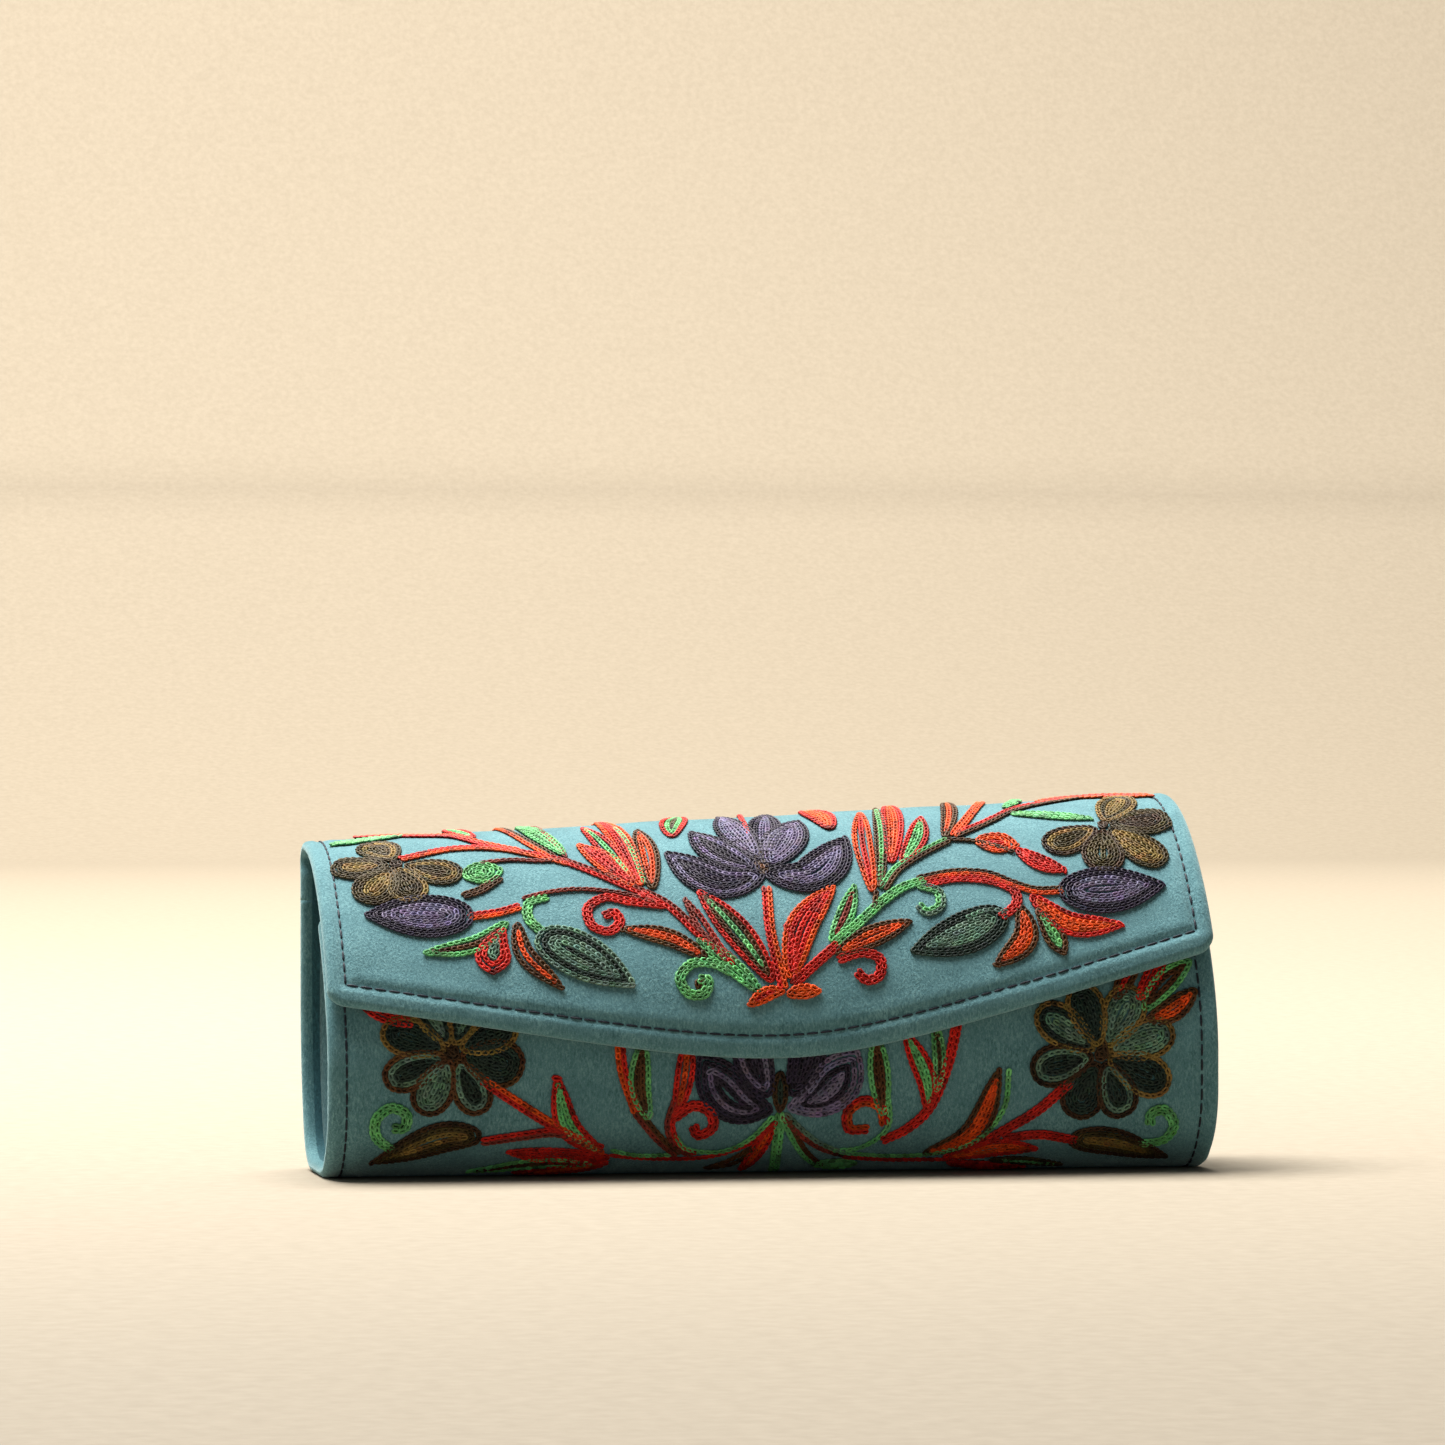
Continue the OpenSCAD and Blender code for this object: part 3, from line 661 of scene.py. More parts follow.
def cover_sheet(case, name, first, edge, towards):
    """Velvet from a row of places to a free edge, wrapped round its rim on three sides.

    towards is 1 where the edge lies further round the section than the first row, else -1.
    """
    rim = case.wall / 2
    columns = int(round(2 * (case.half - rim) / case.grid))
    us = np.linspace(-(case.half - rim), case.half - rim, columns)
    far = edge(us)
    rows = int(round(np.max(np.abs(far - first)) / case.grid))
    share = np.linspace(0, 1, rows)
    s = first + (far - towards * rim - first)[:, None] * share[None]
    u = np.repeat(us[:, None], rows, axis=1)
    u, s = rounded_corner(case, u, s, far[:, None] + 0 * s, rim, towards)
    points = [case.on_velvet(u, s)]
    faces = grid_faces(columns, rows)

    index = np.arange(columns * rows).reshape(columns, rows)
    border = np.concatenate([index[0], index[1:-1, -1], index[-1, ::-1]])
    bu, bs = u.ravel()[border], s.ravel()[border]
    run_u, run_s = np.gradient(bu), np.gradient(bs)
    size = np.hypot(run_u, run_s)
    out_u, out_s = -towards * run_s / size, towards * run_u / size
    surface_depth = case.relief(bu, bs)
    thick = case.thickness(bs)
    profile = [(math.sin(a) * rim, (1 - math.cos(a)) / 2, 1 - a / math.pi)
               for a in np.linspace(0, math.pi, 8)[1:]]
    profile += [(-0.7, 1.0, 0), (-1.5, 0.97, 0)]
    previous = border
    count = columns * rows
    for out, depth_share, keep in profile:
        points.append(case.under(
            bu + out * out_u, bs + out * out_s, surface_depth * keep + thick * depth_share))
        ring = np.arange(count, count + len(border))
        count += len(border)
        quads = np.stack([previous[:-1], ring[:-1], ring[1:], previous[1:]], axis=1)
        faces += quads.tolist()
        previous = ring
    sheet = new_piece(name, np.concatenate([p.reshape(-1, 3) for p in points]), faces,
                      material("velvet"))
    bpy.context.view_layer.update()
    faced = bmesh.new()
    faced.from_mesh(sheet.data)
    bmesh.ops.recalc_face_normals(faced, faces=faced.faces)
    faced.to_mesh(sheet.data)
    faced.free()
    face_outwards(case, sheet)
    apply_modifier(sheet, "SOLIDIFY", thickness=case.cloth * MM, offset=-1, use_rim=True)
    return sheet


def lining_sheet(case, name, first, edge, towards):
    """Lining over the inside of a panel, its edge turned down just short of the rim.

    inset is the lining's distance from the rim, step its mesh's spacing, and bend and turn_in
    the distances from its edge of the last two rows before it.
    """
    inset, step, bend, turn_in = 1.7, 1.6, 1.4, 0.5
    half = case.half - inset
    columns = int(2 * half / step)
    us = np.concatenate([[-half, -half + turn_in], np.linspace(-half + bend, half - bend, columns),
                         [half - turn_in, half]])
    far = edge(us) - towards * inset
    rows = int(np.max(np.abs(far - first)) / step)
    share = np.linspace(0, 1, rows)
    body = first + (far - towards * bend - first)[:, None] * share[None]
    s = np.concatenate([body, (far - towards * turn_in)[:, None], far[:, None]], axis=1)
    u = np.repeat(us[:, None], s.shape[1], axis=1)
    from_rim = np.minimum(half - np.abs(u), np.abs(s - far[:, None]))
    lift = 0.1 * smooth_step(from_rim, 0, 0.6) - 0.1 + 0.04 * np.sin(u / 5.1) * np.sin(s / 6.7)
    depth = case.thickness(s) + lift
    sheet = new_piece(name, case.under(u, s, depth), grid_faces(*u.shape), material("lining_pile"))
    face_outwards(case, sheet)
    apply_modifier(sheet, "SOLIDIFY", thickness=case.cloth * MM, offset=1, use_rim=True)
    return sheet


def flap_cloth(case, maker, name):
    return maker(case, name, case.seam, case.flap_edge, -1)


def body_cloth(case, maker, name):
    return maker(case, name, case.seam, lambda u: case.mouth + 0 * u, 1)


class CASE_OT_velvet(bpy.types.Operator):
    """Makes the velvet cover: one piece over the flap, one round the body"""
    bl_idname = "case.velvet"
    bl_label = "Velvet cover"

    def execute(self, context):
        case = the_case(context)
        flap = flap_cloth(case, cover_sheet, "flap_velvet")
        body = body_cloth(case, cover_sheet, "body_velvet")
        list(case.flap_zone())
        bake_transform(flap)
        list(case.front_zone())
        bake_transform(body)
        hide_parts("flap_cover")
        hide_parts("shell_cover", "front_cover")
        width = (2 * case.half + 6) * MM
        reach = (case.seam - float(case.flap_edge(np.float64(0))) + 3) * MM
        0.93 * width * reach
        return {"FINISHED"}


class CASE_OT_lining(bpy.types.Operator):
    """Makes the lining of the flap and of the body"""
    bl_idname = "case.lining"
    bl_label = "Lining"

    def execute(self, context):
        case = the_case(context)
        flap = flap_cloth(case, lining_sheet, "flap_lining_cloth")
        body = body_cloth(case, lining_sheet, "body_lining_cloth")
        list(case.flap_zone())
        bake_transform(flap)
        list(case.front_zone())
        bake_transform(body)
        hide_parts("flap_lining")
        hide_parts("shell_lining", "front_lining")
        width = (2 * case.half - 3) * MM
        reach = (case.seam - float(case.flap_edge(np.float64(0))) - 2) * MM
        0.9 * width * reach
        return {"FINISHED"}


# ---------------------------------------------------------------- gussets


def gusset_sheet(case, name, end):
    """A velvet gusset, pleated inwards between the back wall and the front wall, in a darker copy
    of the cover velvet that paints the shade of its recess.
    """
    across, up = 30, 46
    from_end, thick = 3.4, 0.9
    t = np.linspace(0, 1, across)[:, None]
    h = np.linspace(0, 1, up)[None]
    back_s = case.bottom_middle - 0.6 - (case.bottom_middle - case.fold - 7.5) * h
    front_s = case.bottom_middle + 0.6 + (case.mouth - case.bottom_middle - 2.6) * h

    def inner(s):
        forward, height, heading = case.chain.at(s)
        depth = case.thickness(s) - 0.1
        return forward - depth * np.sin(heading), height + depth * np.cos(heading)

    back, front = inner(back_s), inner(front_s)
    forward = back[0] + (front[0] - back[0]) * t
    height = back[1] + (front[1] - back[1]) * t
    peak = 1 - np.sqrt((2 * t - 1) ** 2 + 0.006)
    peak = (peak / peak.max()).clip(0) ** 0.62
    belly = 0.9 * np.sin(2 * math.pi * t) ** 2
    fold_in = case.pleat * h ** 0.75 * (peak - 0.16 * belly)
    ripple = 0.22 * np.sin(9 * h + 5 * t + end) * np.sin(math.pi * t) * np.sin(math.pi * h)
    sag = -1.8 * np.sin(math.pi * t) * smooth_step(h, 0.6, 1)
    u = end * (case.half - from_end - fold_in - ripple)
    sheet = new_piece(name, case.placed(u, forward, height + sag), grid_faces(across, up),
                      material("gusset_velvet"))
    mesh = sheet.data
    if mesh.polygons[0].normal.x * end < 0:
        mesh.flip_normals()
    apply_modifier(sheet, "SOLIDIFY", thickness=thick * MM, offset=-1, use_rim=True)
    return sheet


class CASE_OT_gussets(bpy.types.Operator):
    """Makes the two pleated velvet gussets"""
    bl_idname = "case.gussets"
    bl_label = "Gussets"

    def execute(self, context):
        case = the_case(context)
        for name, node, end in (("left_gusset_cloth", "left_gusset", -1),
                                ("right_gusset_cloth", "right_gusset", 1)):
            piece = gusset_sheet(case, name, end)
            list(case.gusset_zone())
            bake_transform(piece)
            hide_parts(node)
        return {"FINISHED"}


# ---------------------------------------------------------------- chain-stitch embroidery


def thread_path(points):
    """A smooth line through a few [u, v] points, evenly spaced."""
    p = np.array(points, float)
    if len(p) == 2:
        p = np.array([p[0], p.mean(axis=0), p[1]])
    ends = np.concatenate([[2 * p[0] - p[1]], p, [2 * p[-1] - p[-2]]])
    t = np.linspace(0, 1, 24, endpoint=False)[:, None]
    spans = [
        0.5 * (2 * b + (c - a) * t + (2 * a - 5 * b + 4 * c - d) * t ** 2
               + (3 * b - a - 3 * c + d) * t ** 3)
        for a, b, c, d in zip(ends, ends[1:], ends[2:], ends[3:])]
    return evenly(np.concatenate(spans + [p[-1:]]), PATH_STEP)


def evenly(line, step):
    """The same line with its points a step apart."""
    run = np.concatenate([[0], np.cumsum(np.linalg.norm(np.diff(line, axis=0), axis=1))])
    count = max(2, int(round(run[-1] / step)) + 1)
    at = np.linspace(0, run[-1], count)
    return np.stack([np.interp(at, run, line[:, k]) for k in range(2)], axis=1)


def sideways(line):
    """Unit vectors square to a line at each of its points."""
    along = np.gradient(line, axis=0)
    along /= np.linalg.norm(along, axis=1, keepdims=True) + 1e-9
    return np.stack([-along[:, 1], along[:, 0]], axis=1)


def spread(line, count):
    """A number of places spaced evenly along a line, and the way that it runs at each."""
    at = (np.arange(count) + 0.5) / count * (len(line) - 1)
    index = np.arange(len(line))
    along = np.gradient(line, axis=0)
    return tuple(
        np.stack([np.interp(at, index, values[:, k]) for k in range(2)], axis=1)
        for values in (line, along))


def stem(points, *colours):
    """Rows of chain stitch side by side along a line."""
    def rows(row):
        line = thread_path(points)
        middle = (len(colours) - 1) / 2
        return [(evenly(line + (k - middle) * 0.86 * row * sideways(line), PATH_STEP), colour)
                for k, colour in enumerate(colours)]
    return rows


def leaf(points, width, *colours, wide=0.5, blunt=0.56, sharp=0.3):
    """Rows of chain stitch round a leaf, one inside the other, from its outline inwards.

    wide is how far along its widest point lies, blunt is lower for rounder ends, and sharp is
    higher for a more pointed far end.
    """
    def rows(row):
        line = thread_path(points)
        length = PATH_STEP * (len(line) - 1)
        power = math.log(0.5) / math.log(wide)
        made = []
        inset = row / 2
        while width / 2 - inset > 0.36 * row:
            first = int(round(inset * (0.56 + blunt) / PATH_STEP))
            last = int(round(inset * (0.56 + blunt + 1.1 * sharp) / PATH_STEP))
            spine = line[first:len(line) - last]
            if len(spine) < 8:
                break
            t = np.linspace(0, 1, len(spine))
            half = (width / 2 - inset) * np.sin(np.pi * t ** power) ** (blunt + sharp * t)
            out = sideways(spine) * half[:, None]
            outline = np.concatenate([spine + out, (spine - out)[::-1]])
            made.append(evenly(outline, PATH_STEP))
            inset += row
        left = width / 2 - inset + row / 2
        if left > 0.2 * row:
            first = int(round(min(0.3 * length, inset * (0.8 + blunt)) / PATH_STEP))
            made.append(line[first:len(line) - first])
        return [(path, colours[min(k, len(colours) - 1)]) for k, path in enumerate(made)]
    return rows


def petal(centre, tip, width, *colours):
    """A petal of a flower, from near its centre to its own tip."""
    centre, tip = np.array(centre, float), np.array(tip, float)
    reach = tip - centre
    start = centre + 1.3 * reach / np.linalg.norm(reach)
    return leaf([start, tip], 1.14 * width, *colours, wide=0.62, blunt=0.42, sharp=0)


FLAP_DESIGN = {
    "red": [
        stem([(0, 31.5), (-0.6, 42), (0.6, 54)], "orange", "red"),
        leaf([(1, 54.6), (-2.5, 55.2), (-6.5, 57.6)], 3.0, "orange", "red"),
        leaf([(1, 55.6), (4, 55), (8, 55)], 3.2, "orange", "orange", "red"),
        leaf([(-1.2, 53), (-6, 43.5), (-13.3, 31.2)], 6.0, "red", "brown", "green"),
        leaf([(2, 52.5), (5.6, 41), (13, 31.8)], 6.2, "orange", "red", "red", "maroon"),
        stem([(3, 53), (3.6, 46), (2.4, 41)], "red"),
        stem([(-9, 48), (-11.5, 42.5), (-14, 36.5)], "red"),
        leaf([(-13, 47.6), (-20, 42.6), (-29, 40)], 4.2, "brown", "orange"),
        leaf([(11, 47.8), (18, 44.4), (26.6, 41)], 4.8, "brown", "orange"),
        stem([(-8, 48.6), (-14, 42), (-19.5, 34.5), (-26, 29.8), (-31.5, 25.5), (-36.8, 21.5)],
             "red", "maroon"),
        stem([(-20, 35), (-26, 33.8), (-30.6, 32.4), (-34.2, 34.8), (-34, 39), (-31, 40.6),
              (-28.7, 38.8), (-29.4, 36.3), (-31.4, 36.9)], "red", "red"),
        stem([(-46, 31.4), (-41, 30.2), (-35, 29.9), (-28, 31.3), (-22, 34)], "maroon"),
        stem([(-56.6, 35.6), (-51, 34.8), (-47, 33.6)], "red", "orange"),
        leaf([(-25, 30), (-29.5, 22), (-34, 15.2)], 5.2, "orange", "red"),
        leaf([(-24.6, 29), (-28.4, 18), (-31.6, 6)], 4.0, "red", "green"),
        leaf([(-23.6, 30), (-25.4, 15), (-27.4, -3)], 4.6, "orange", "red"),
        leaf([(-21.6, 31), (-21.2, 20), (-21.6, 9.6)], 4.8, "brown", "orange", "red"),
        stem([(-24, 31.5), (-21, 34.5)], "red", "red"),
        stem([(-36.4, 22), (-42, 18.8), (-49, 15.4), (-58, 14.8), (-67.4, 17.6)], "orange", "red"),
        stem([(-45, 17), (-52, 12.4), (-57, 7), (-64, 4.4), (-74, 1)], "red", "orange"),
        leaf([(-52.6, 10), (-55, 4), (-56.5, -3)], 4.2, "red", "green"),
        stem([(-39, 20), (-43, 13), (-45.6, 5), (-46.6, -3)], "orange", "brown"),
        stem([(-36.6, 20), (-38.8, 11), (-40, -2)], "maroon"),
        leaf([(-50.3, 38.6), (-52.6, 43.6), (-53.6, 49.4)], 6.8, "red", "red", "sage", wide=0.66),
        leaf([(-48, 37.4), (-46.8, 45.4), (-40.4, 53)], 4.0, "brown", "orange"),
        stem([(2.6, 53.4), (7, 49.6), (11.6, 45.8)], "red", "red"),
        stem([(11.6, 48.8), (16, 47.6), (19.3, 49), (19, 52.2), (16.6, 53.2), (14.8, 51.6)],
             "red", "red"),
        stem([(30, 32.8), (36, 31.5), (42, 32.3), (46.6, 35), (46.8, 38.4), (43.6, 41.2)],
             "red", "red"),
        stem([(29, 31.4), (36, 30), (42, 30.6), (47, 33.6), (51, 35.4), (56, 35.6)],
             "brown", "orange"),
        leaf([(19.8, 34.4), (20.2, 20), (22.4, 6)], 4.0, "orange", "red"),
        leaf([(24.6, 27), (27.2, 14), (29.6, -3)], 4.4, "red", "orange"),
        leaf([(26.6, 27.2), (30.6, 20), (33.2, 11.4)], 4.4, "red", "green", "green"),
        leaf([(36, 20.4), (39, 10), (41, -3)], 3.4, "brown", "orange"),
        stem([(38, 19.4), (43, 11), (46.5, 3), (48, -3)], "orange", "orange"),
        stem([(38.6, 19.2), (46, 14.6), (52, 9.8), (60, 5), (68, 2)], "red", "brown"),
        leaf([(57, 5), (66, 1.4), (80.5, 6.6)], 4.6, "orange", "red"),
        leaf([(41.6, 21.4), (46, 22.4), (50, 24)], 6.2, "orange", "orange", "red", blunt=0.5),
        leaf([(49, 24.6), (53, 28.6), (58, 31.4)], 4.2, "red", "red"),
        stem([(36, 20.6), (42, 21.6), (48.4, 25.4)], "brown"),
        leaf([(47.6, 38.6), (47.4, 46), (40.8, 51.6)], 5.0, "brown", "orange"),
        leaf([(49.6, 36.6), (56.6, 43.2), (67, 44)], 5.2, "red", "orange"),
        leaf([(15, 15), (14.4, 7), (12.6, -3)], 5.6, "red", "orange"),
        stem([(-0.9, 15), (-0.6, 6), (0.6, -3)], "red"),
    ],
    "green": [
        leaf([(-3.6, 55), (-8, 50), (-15, 42.8)], 3.8, "green", "green"),
        leaf([(-9.4, 48.6), (-12.6, 42), (-16, 33.2)], 2.6, "maroon", "sage"),
        stem([(-9, 50.6), (-12, 48.8), (-16, 48.6), (-18.6, 51.4), (-17.2, 54.6), (-14.4, 54.8),
              (-13.4, 52.4), (-15, 51.8)], "green", "green"),
        stem([(-15, 53.4), (-14.9, 52.4)], "brown", "brown"),
        stem([(-23, 29), (-24.2, 17), (-25.4, 8)], "green"),
        leaf([(-36.8, 19.6), (-40.6, 9), (-42.6, -3)], 4.4, "green", "green"),
        leaf([(-56.8, 24.2), (-48.6, 23)], 6.6, "green", "green", blunt=0.5),
        leaf([(-49.4, 37.2), (-56, 42.2), (-66.2, 44)], 4.0, "green", "brown"),
        leaf([(-44.4, 40.4), (-36.4, 46), (-26.8, 53)], 10.0, "sage", "forest", "sage", "sage",
             "forest", wide=0.38),
        stem([(-41.6, 31.4), (-45, 32.8), (-45.6, 36.6), (-43.6, 40)], "green", "green"),
        leaf([(10.4, 45.4), (14, 39), (16.8, 32)], 3.6, "green", "maroon"),
        stem([(11, 45.6), (16, 41.4), (21, 36.8), (25.6, 33.4), (30, 31.8)], "green", "green"),
        stem([(29, 33), (32.3, 34.6), (32.2, 38), (29.7, 39.3), (28.2, 37.8)], "sage", "green"),
        leaf([(21.4, 33.4), (23.8, 20), (26, 3)], 2.8, "brown", "green"),
        stem([(22, 33.4), (25.4, 28.6), (30.6, 24.6), (36.4, 21)], "green", "brown"),
        leaf([(44.6, 40), (36.2, 44.2), (25, 48)], 9.0, "forest", "forest", "sage", "sage",
             wide=0.4),
        stem([(45, 40.2), (41, 39.6), (37, 41)], "sage"),
        leaf([(50.4, 39.4), (52.6, 44.4), (54.8, 50)], 4.4, "brown", "green", "green", wide=0.62),
        leaf([(50.4, 12.2), (57, 13.6), (66, 16.4)], 3.2, "green", "green"),
        leaf([(50, 9), (53.4, 3), (55, -3)], 2.8, "green", "green"),
        leaf([(-80, 9), (-73, 6.4), (-65, 4)], 3.2, "green", "green"),
        leaf([(-15.6, 14.6), (-14.4, 8), (-11, -3)], 5.4, "red", "green", "olive"),
    ],
    "brown": [
        petal((-68.5, 19.5), (-72.6, 9), 7.6, "olive", "gold", "olive"),
        petal((-68.5, 19.5), (-81, 20.4), 7.0, "olive", "olive", "gold"),
        petal((-68.5, 19.5), (-76, 31), 7.6, "olive", "olive", "gold"),
        petal((-68.5, 19.5), (-66.6, 31.2), 7.0, "gold", "olive", "olive"),
        petal((-68.5, 19.5), (-56.6, 24.4), 7.0, "olive", "gold", "olive"),
        petal((67, 19), (74.4, 5.6), 6.8, "gold", "olive", "gold"),
        petal((67, 19), (81, 17.2), 7.8, "olive", "olive", "bark"),
        petal((67, 19), (77, 30.6), 7.0, "olive", "gold", "gold"),
        petal((67, 19), (64.6, 32), 7.4, "bark", "olive", "olive"),
        petal((67, 19), (54.6, 25), 7.0, "bark", "gold", "olive"),
        leaf([(-69.6, 18.4), (-67.4, 20.4)], 2.6, "bark", "bark", blunt=0.5),
        leaf([(66, 18.6), (68.4, 19)], 2.8, "bark", "bark", blunt=0.5),
        stem([(-57, 30), (-53.4, 28.4), (-49.8, 25.4)], "brown", "brown"),
        stem([(-53, 20.6), (-47, 20), (-42, 20.8), (-37, 21)], "maroon"),
        stem([(19.6, 38), (20.6, 34)], "brown"),
    ],
    "purple": [
        leaf([(0.2, 28.2), (-9, 29.4), (-18, 19.8)], 9.0, "purple", "lavender", "purple"),
        leaf([(-0.8, 27.4), (-7.6, 20.6), (-12, 12.2)], 7.6, "purple", "lavender", "purple"),
        leaf([(-0.4, 24.4), (-3.4, 13.4), (-4.4, 3.2)], 7.2, "purple", "lavender"),
        leaf([(0.4, 24.4), (2.6, 12.6), (4.8, 2)], 6.8, "purple", "purple", "lavender"),
        leaf([(0.8, 26.6), (5.8, 17.4), (9.8, 9)], 8.8, "purple", "lavender"),
        leaf([(0, 28.2), (9.6, 28.6), (17.6, 18)], 9.4, "purple", "purple", "lavender"),
        leaf([(0, 21.6), (0, 28.8)], 2.9, "bark", "brown"),
        leaf([(-55.6, 35.4), (-65, 34.8), (-76.4, 34)], 11.0, "purple", "purple", "lavender",
             wide=0.4),
        leaf([(55.2, 36), (65, 36), (76.4, 35.4)], 10.8, "purple", "purple", "lavender",
             wide=0.42),
    ],
}

FRONT_DESIGN = {
    "red": [
        leaf([(-68, 27.4), (-73, 25), (-79, 21.4)], 3.8, "red", "red"),
        stem([(-55.6, 38.4), (-50, 42.4), (-44, 46.4), (-38, 50.4), (-33, 54)], "orange", "red"),
        stem([(-55.4, 50.6), (-48, 49.4), (-41, 49), (-33, 52.6)], "red", "maroon"),
        leaf([(-32.6, 54), (-39.6, 47.6), (-42, 37.6)], 4.6, "red", "green"),
        leaf([(-31, 55), (-41, 54.6), (-51, 53)], 4.6, "red", "red", "brown"),
        leaf([(-31, 56.4), (-38, 58.8), (-49, 60.6)], 3.8, "red", "orange"),
        stem([(-31, 54.6), (-22, 55.7), (-13, 55.3), (-6, 52.5), (-0.6, 47.6)], "red"),
        stem([(-30, 29), (-29.6, 37), (-27, 45)], "red", "orange"),
        stem([(-27, 45), (-22.4, 50.6), (-18.6, 54.4)], "brown", "maroon"),
        leaf([(-19.6, 46), (-18, 39), (-17, 30)], 3.8, "red", "orange"),
        stem([(-19.4, 43), (-20.6, 47.6), (-19, 52), (-15.6, 54.6)], "red", "maroon"),
        stem([(-20, 46.4), (-16.4, 44.2), (-13.2, 45.4), (-12.6, 48.4), (-15, 49.9), (-16.2, 48)],
             "red", "red"),
        leaf([(-1, 47.6), (-3.6, 54), (-6, 61)], 3.2, "red", "orange"),
        leaf([(-4, 52.6), (-8, 57), (-13, 59.6)], 2.6, "brown", "orange"),
        stem([(13, 56), (22, 57), (33, 57.2)], "red"),
        stem([(20, 48.6), (19, 45.2), (15.8, 44), (12.9, 46), (13.4, 49.2), (16.8, 49.4)],
             "orange", "red"),
        leaf([(28, 46.4), (27.6, 40), (23.4, 31)], 4.2, "red", "green", "red"),
        stem([(34, 29), (31.8, 37.6), (28.6, 45), (24.6, 49.2), (20, 51.8)], "red", "red"),
        leaf([(28, 55.6), (36.8, 50.4), (41.8, 38.4)], 5.0, "brown", "orange"),
        stem([(55.2, 41.4), (49, 46.4), (43, 50), (36, 54.4)], "red", "red"),
        stem([(57, 52.6), (50, 51.2), (43, 51.8)], "red", "red"),
        leaf([(32, 56.6), (42, 54.2), (50.4, 54.6)], 4.6, "red", "orange"),
        leaf([(33, 58.4), (40, 59.8), (49, 61.2)], 3.6, "red", "red"),
        leaf([(70, 30.8), (75.2, 29), (80.4, 25)], 4.6, "brown", "orange"),
        leaf([(68.4, 27.2), (72, 22.4), (75, 17)], 3.6, "red", "red"),
        leaf([(64, 27), (67, 22.4), (70, 18)], 3.6, "brown", "red"),
    ],
    "green": [
        stem([(-72, 52.2), (-75, 49.2), (-75.2, 45.6), (-72.6, 43.4), (-69.8, 44.6), (-69.9, 47.2),
              (-72, 47.4)], "green", "green"),
        leaf([(-34, 57), (-45, 56.8), (-57.6, 59.4)], 3.6, "green", "brown"),
        leaf([(-24.6, 46.8), (-26.4, 40), (-25.6, 31)], 4.4, "green", "brown"),
        stem([(-25, 46.6), (-24.6, 45)], "sage", "sage"),
        stem([(-31, 53.2), (-26, 54.6), (-20, 54.6)], "green"),
        stem([(-19.4, 50), (-17, 53), (-11, 53.9), (-6, 51.6), (-1.4, 46.6)], "green"),
        stem([(0, 46), (0, 53), (0.6, 61)], "green", "green"),
        stem([(1, 47), (5, 54), (9, 59)], "brown", "green"),
        leaf([(8, 58), (12, 58.6), (16.4, 58)], 4.2, "green", "green", blunt=0.5),
        stem([(0.8, 46.4), (5, 50.4), (9, 53.4), (14, 55.6)], "sage", "maroon"),
        stem([(12, 54.6), (20, 55.7), (29, 55.5), (37.4, 52.4), (42.4, 46), (43.4, 39)], "green"),
        leaf([(19.6, 47), (18.8, 40), (18, 31)], 4.4, "green", "brown"),
        stem([(20.2, 42), (20.6, 49), (16, 53.4), (11, 54.2)], "green"),
        leaf([(29.6, 43), (30.2, 37), (29.4, 29)], 2.8, "green", "olive"),
        leaf([(41, 57.6), (48, 58.2), (56, 60)], 2.8, "olive", "green"),
        leaf([(69.4, 29), (74, 24), (80, 19.4)], 4.8, "green", "brown", "green"),
        stem([(69.6, 53.6), (73.8, 52.8), (75.4, 49.6), (73.4, 46.8), (70.9, 47.4), (70.8, 49.4)],
             "green", "green"),
    ],
    "brown": [
        petal((-61, 33), (-57, 20), 6.0, "gold", "forest", "sage"),
        petal((-61, 33), (-67, 20.4), 6.0, "gold", "forest", "sage"),
        petal((-61, 33), (-49, 28), 6.4, "gold", "forest"),
        petal((-61, 33), (-74.2, 27.6), 7.2, "gold", "forest"),
        petal((-61, 33), (-74, 38.4), 6.8, "brown", "sage", "forest"),
        petal((-61, 33), (-67, 44.8), 7.0, "brown", "sage", "sage"),
        petal((-61, 33), (-55.6, 45), 6.6, "brown", "sage", "forest"),
        petal((-61, 33), (-47.8, 36.6), 8.4, "brown", "forest"),
        petal((61, 36.6), (57.2, 23.4), 6.8, "gold", "forest"),
        petal((61, 36.6), (68.6, 24.4), 7.4, "gold", "sage", "sage"),
        petal((61, 36.6), (49, 28), 7.0, "gold", "forest", "sage"),
        petal((61, 36.6), (47.4, 39.4), 7.0, "bark", "sage", "forest"),
        petal((61, 36.6), (75.4, 32.6), 6.8, "gold", "sage", "sage"),
        petal((61, 36.6), (74.4, 42.6), 7.0, "gold", "forest"),
        petal((61, 36.6), (66, 48), 7.0, "bark", "sage", "forest"),
        petal((61, 36.6), (55.6, 48), 7.6, "bark", "forest"),
        leaf([(-62.4, 31.6), (-60, 34.4)], 3.0, "bark", "bark", blunt=0.5),
        leaf([(60, 35.6), (62.4, 37.4)], 3.2, "bark", "bark", blunt=0.5),
        leaf([(-55.4, 49.4), (-64, 50), (-76, 56)], 7.0, "bark", "olive", "gold", "bark",
             wide=0.4),
        leaf([(55.6, 52.2), (65, 53.6), (76, 57.6)], 6.6, "bark", "olive", "gold", wide=0.36),
    ],
    "purple": [
        leaf([(-2, 43), (-5, 36), (-6.4, 27)], 7.6, "purple", "lavender", "purple"),
        leaf([(2, 43), (5, 36), (5.6, 27)], 7.2, "purple", "purple"),
        leaf([(-1.2, 45.4), (-8.6, 43.4), (-15.4, 34.4)], 9.4, "purple", "purple", "lavender",
             "purple", wide=0.56),
        leaf([(1.2, 45.2), (8.6, 42.4), (15, 34.4)], 9.6, "lavender", "lavender", "purple",
             "lavender", wide=0.6),
        leaf([(0, 38), (0, 46.2)], 3.2, "bark", "forest"),
    ],
}


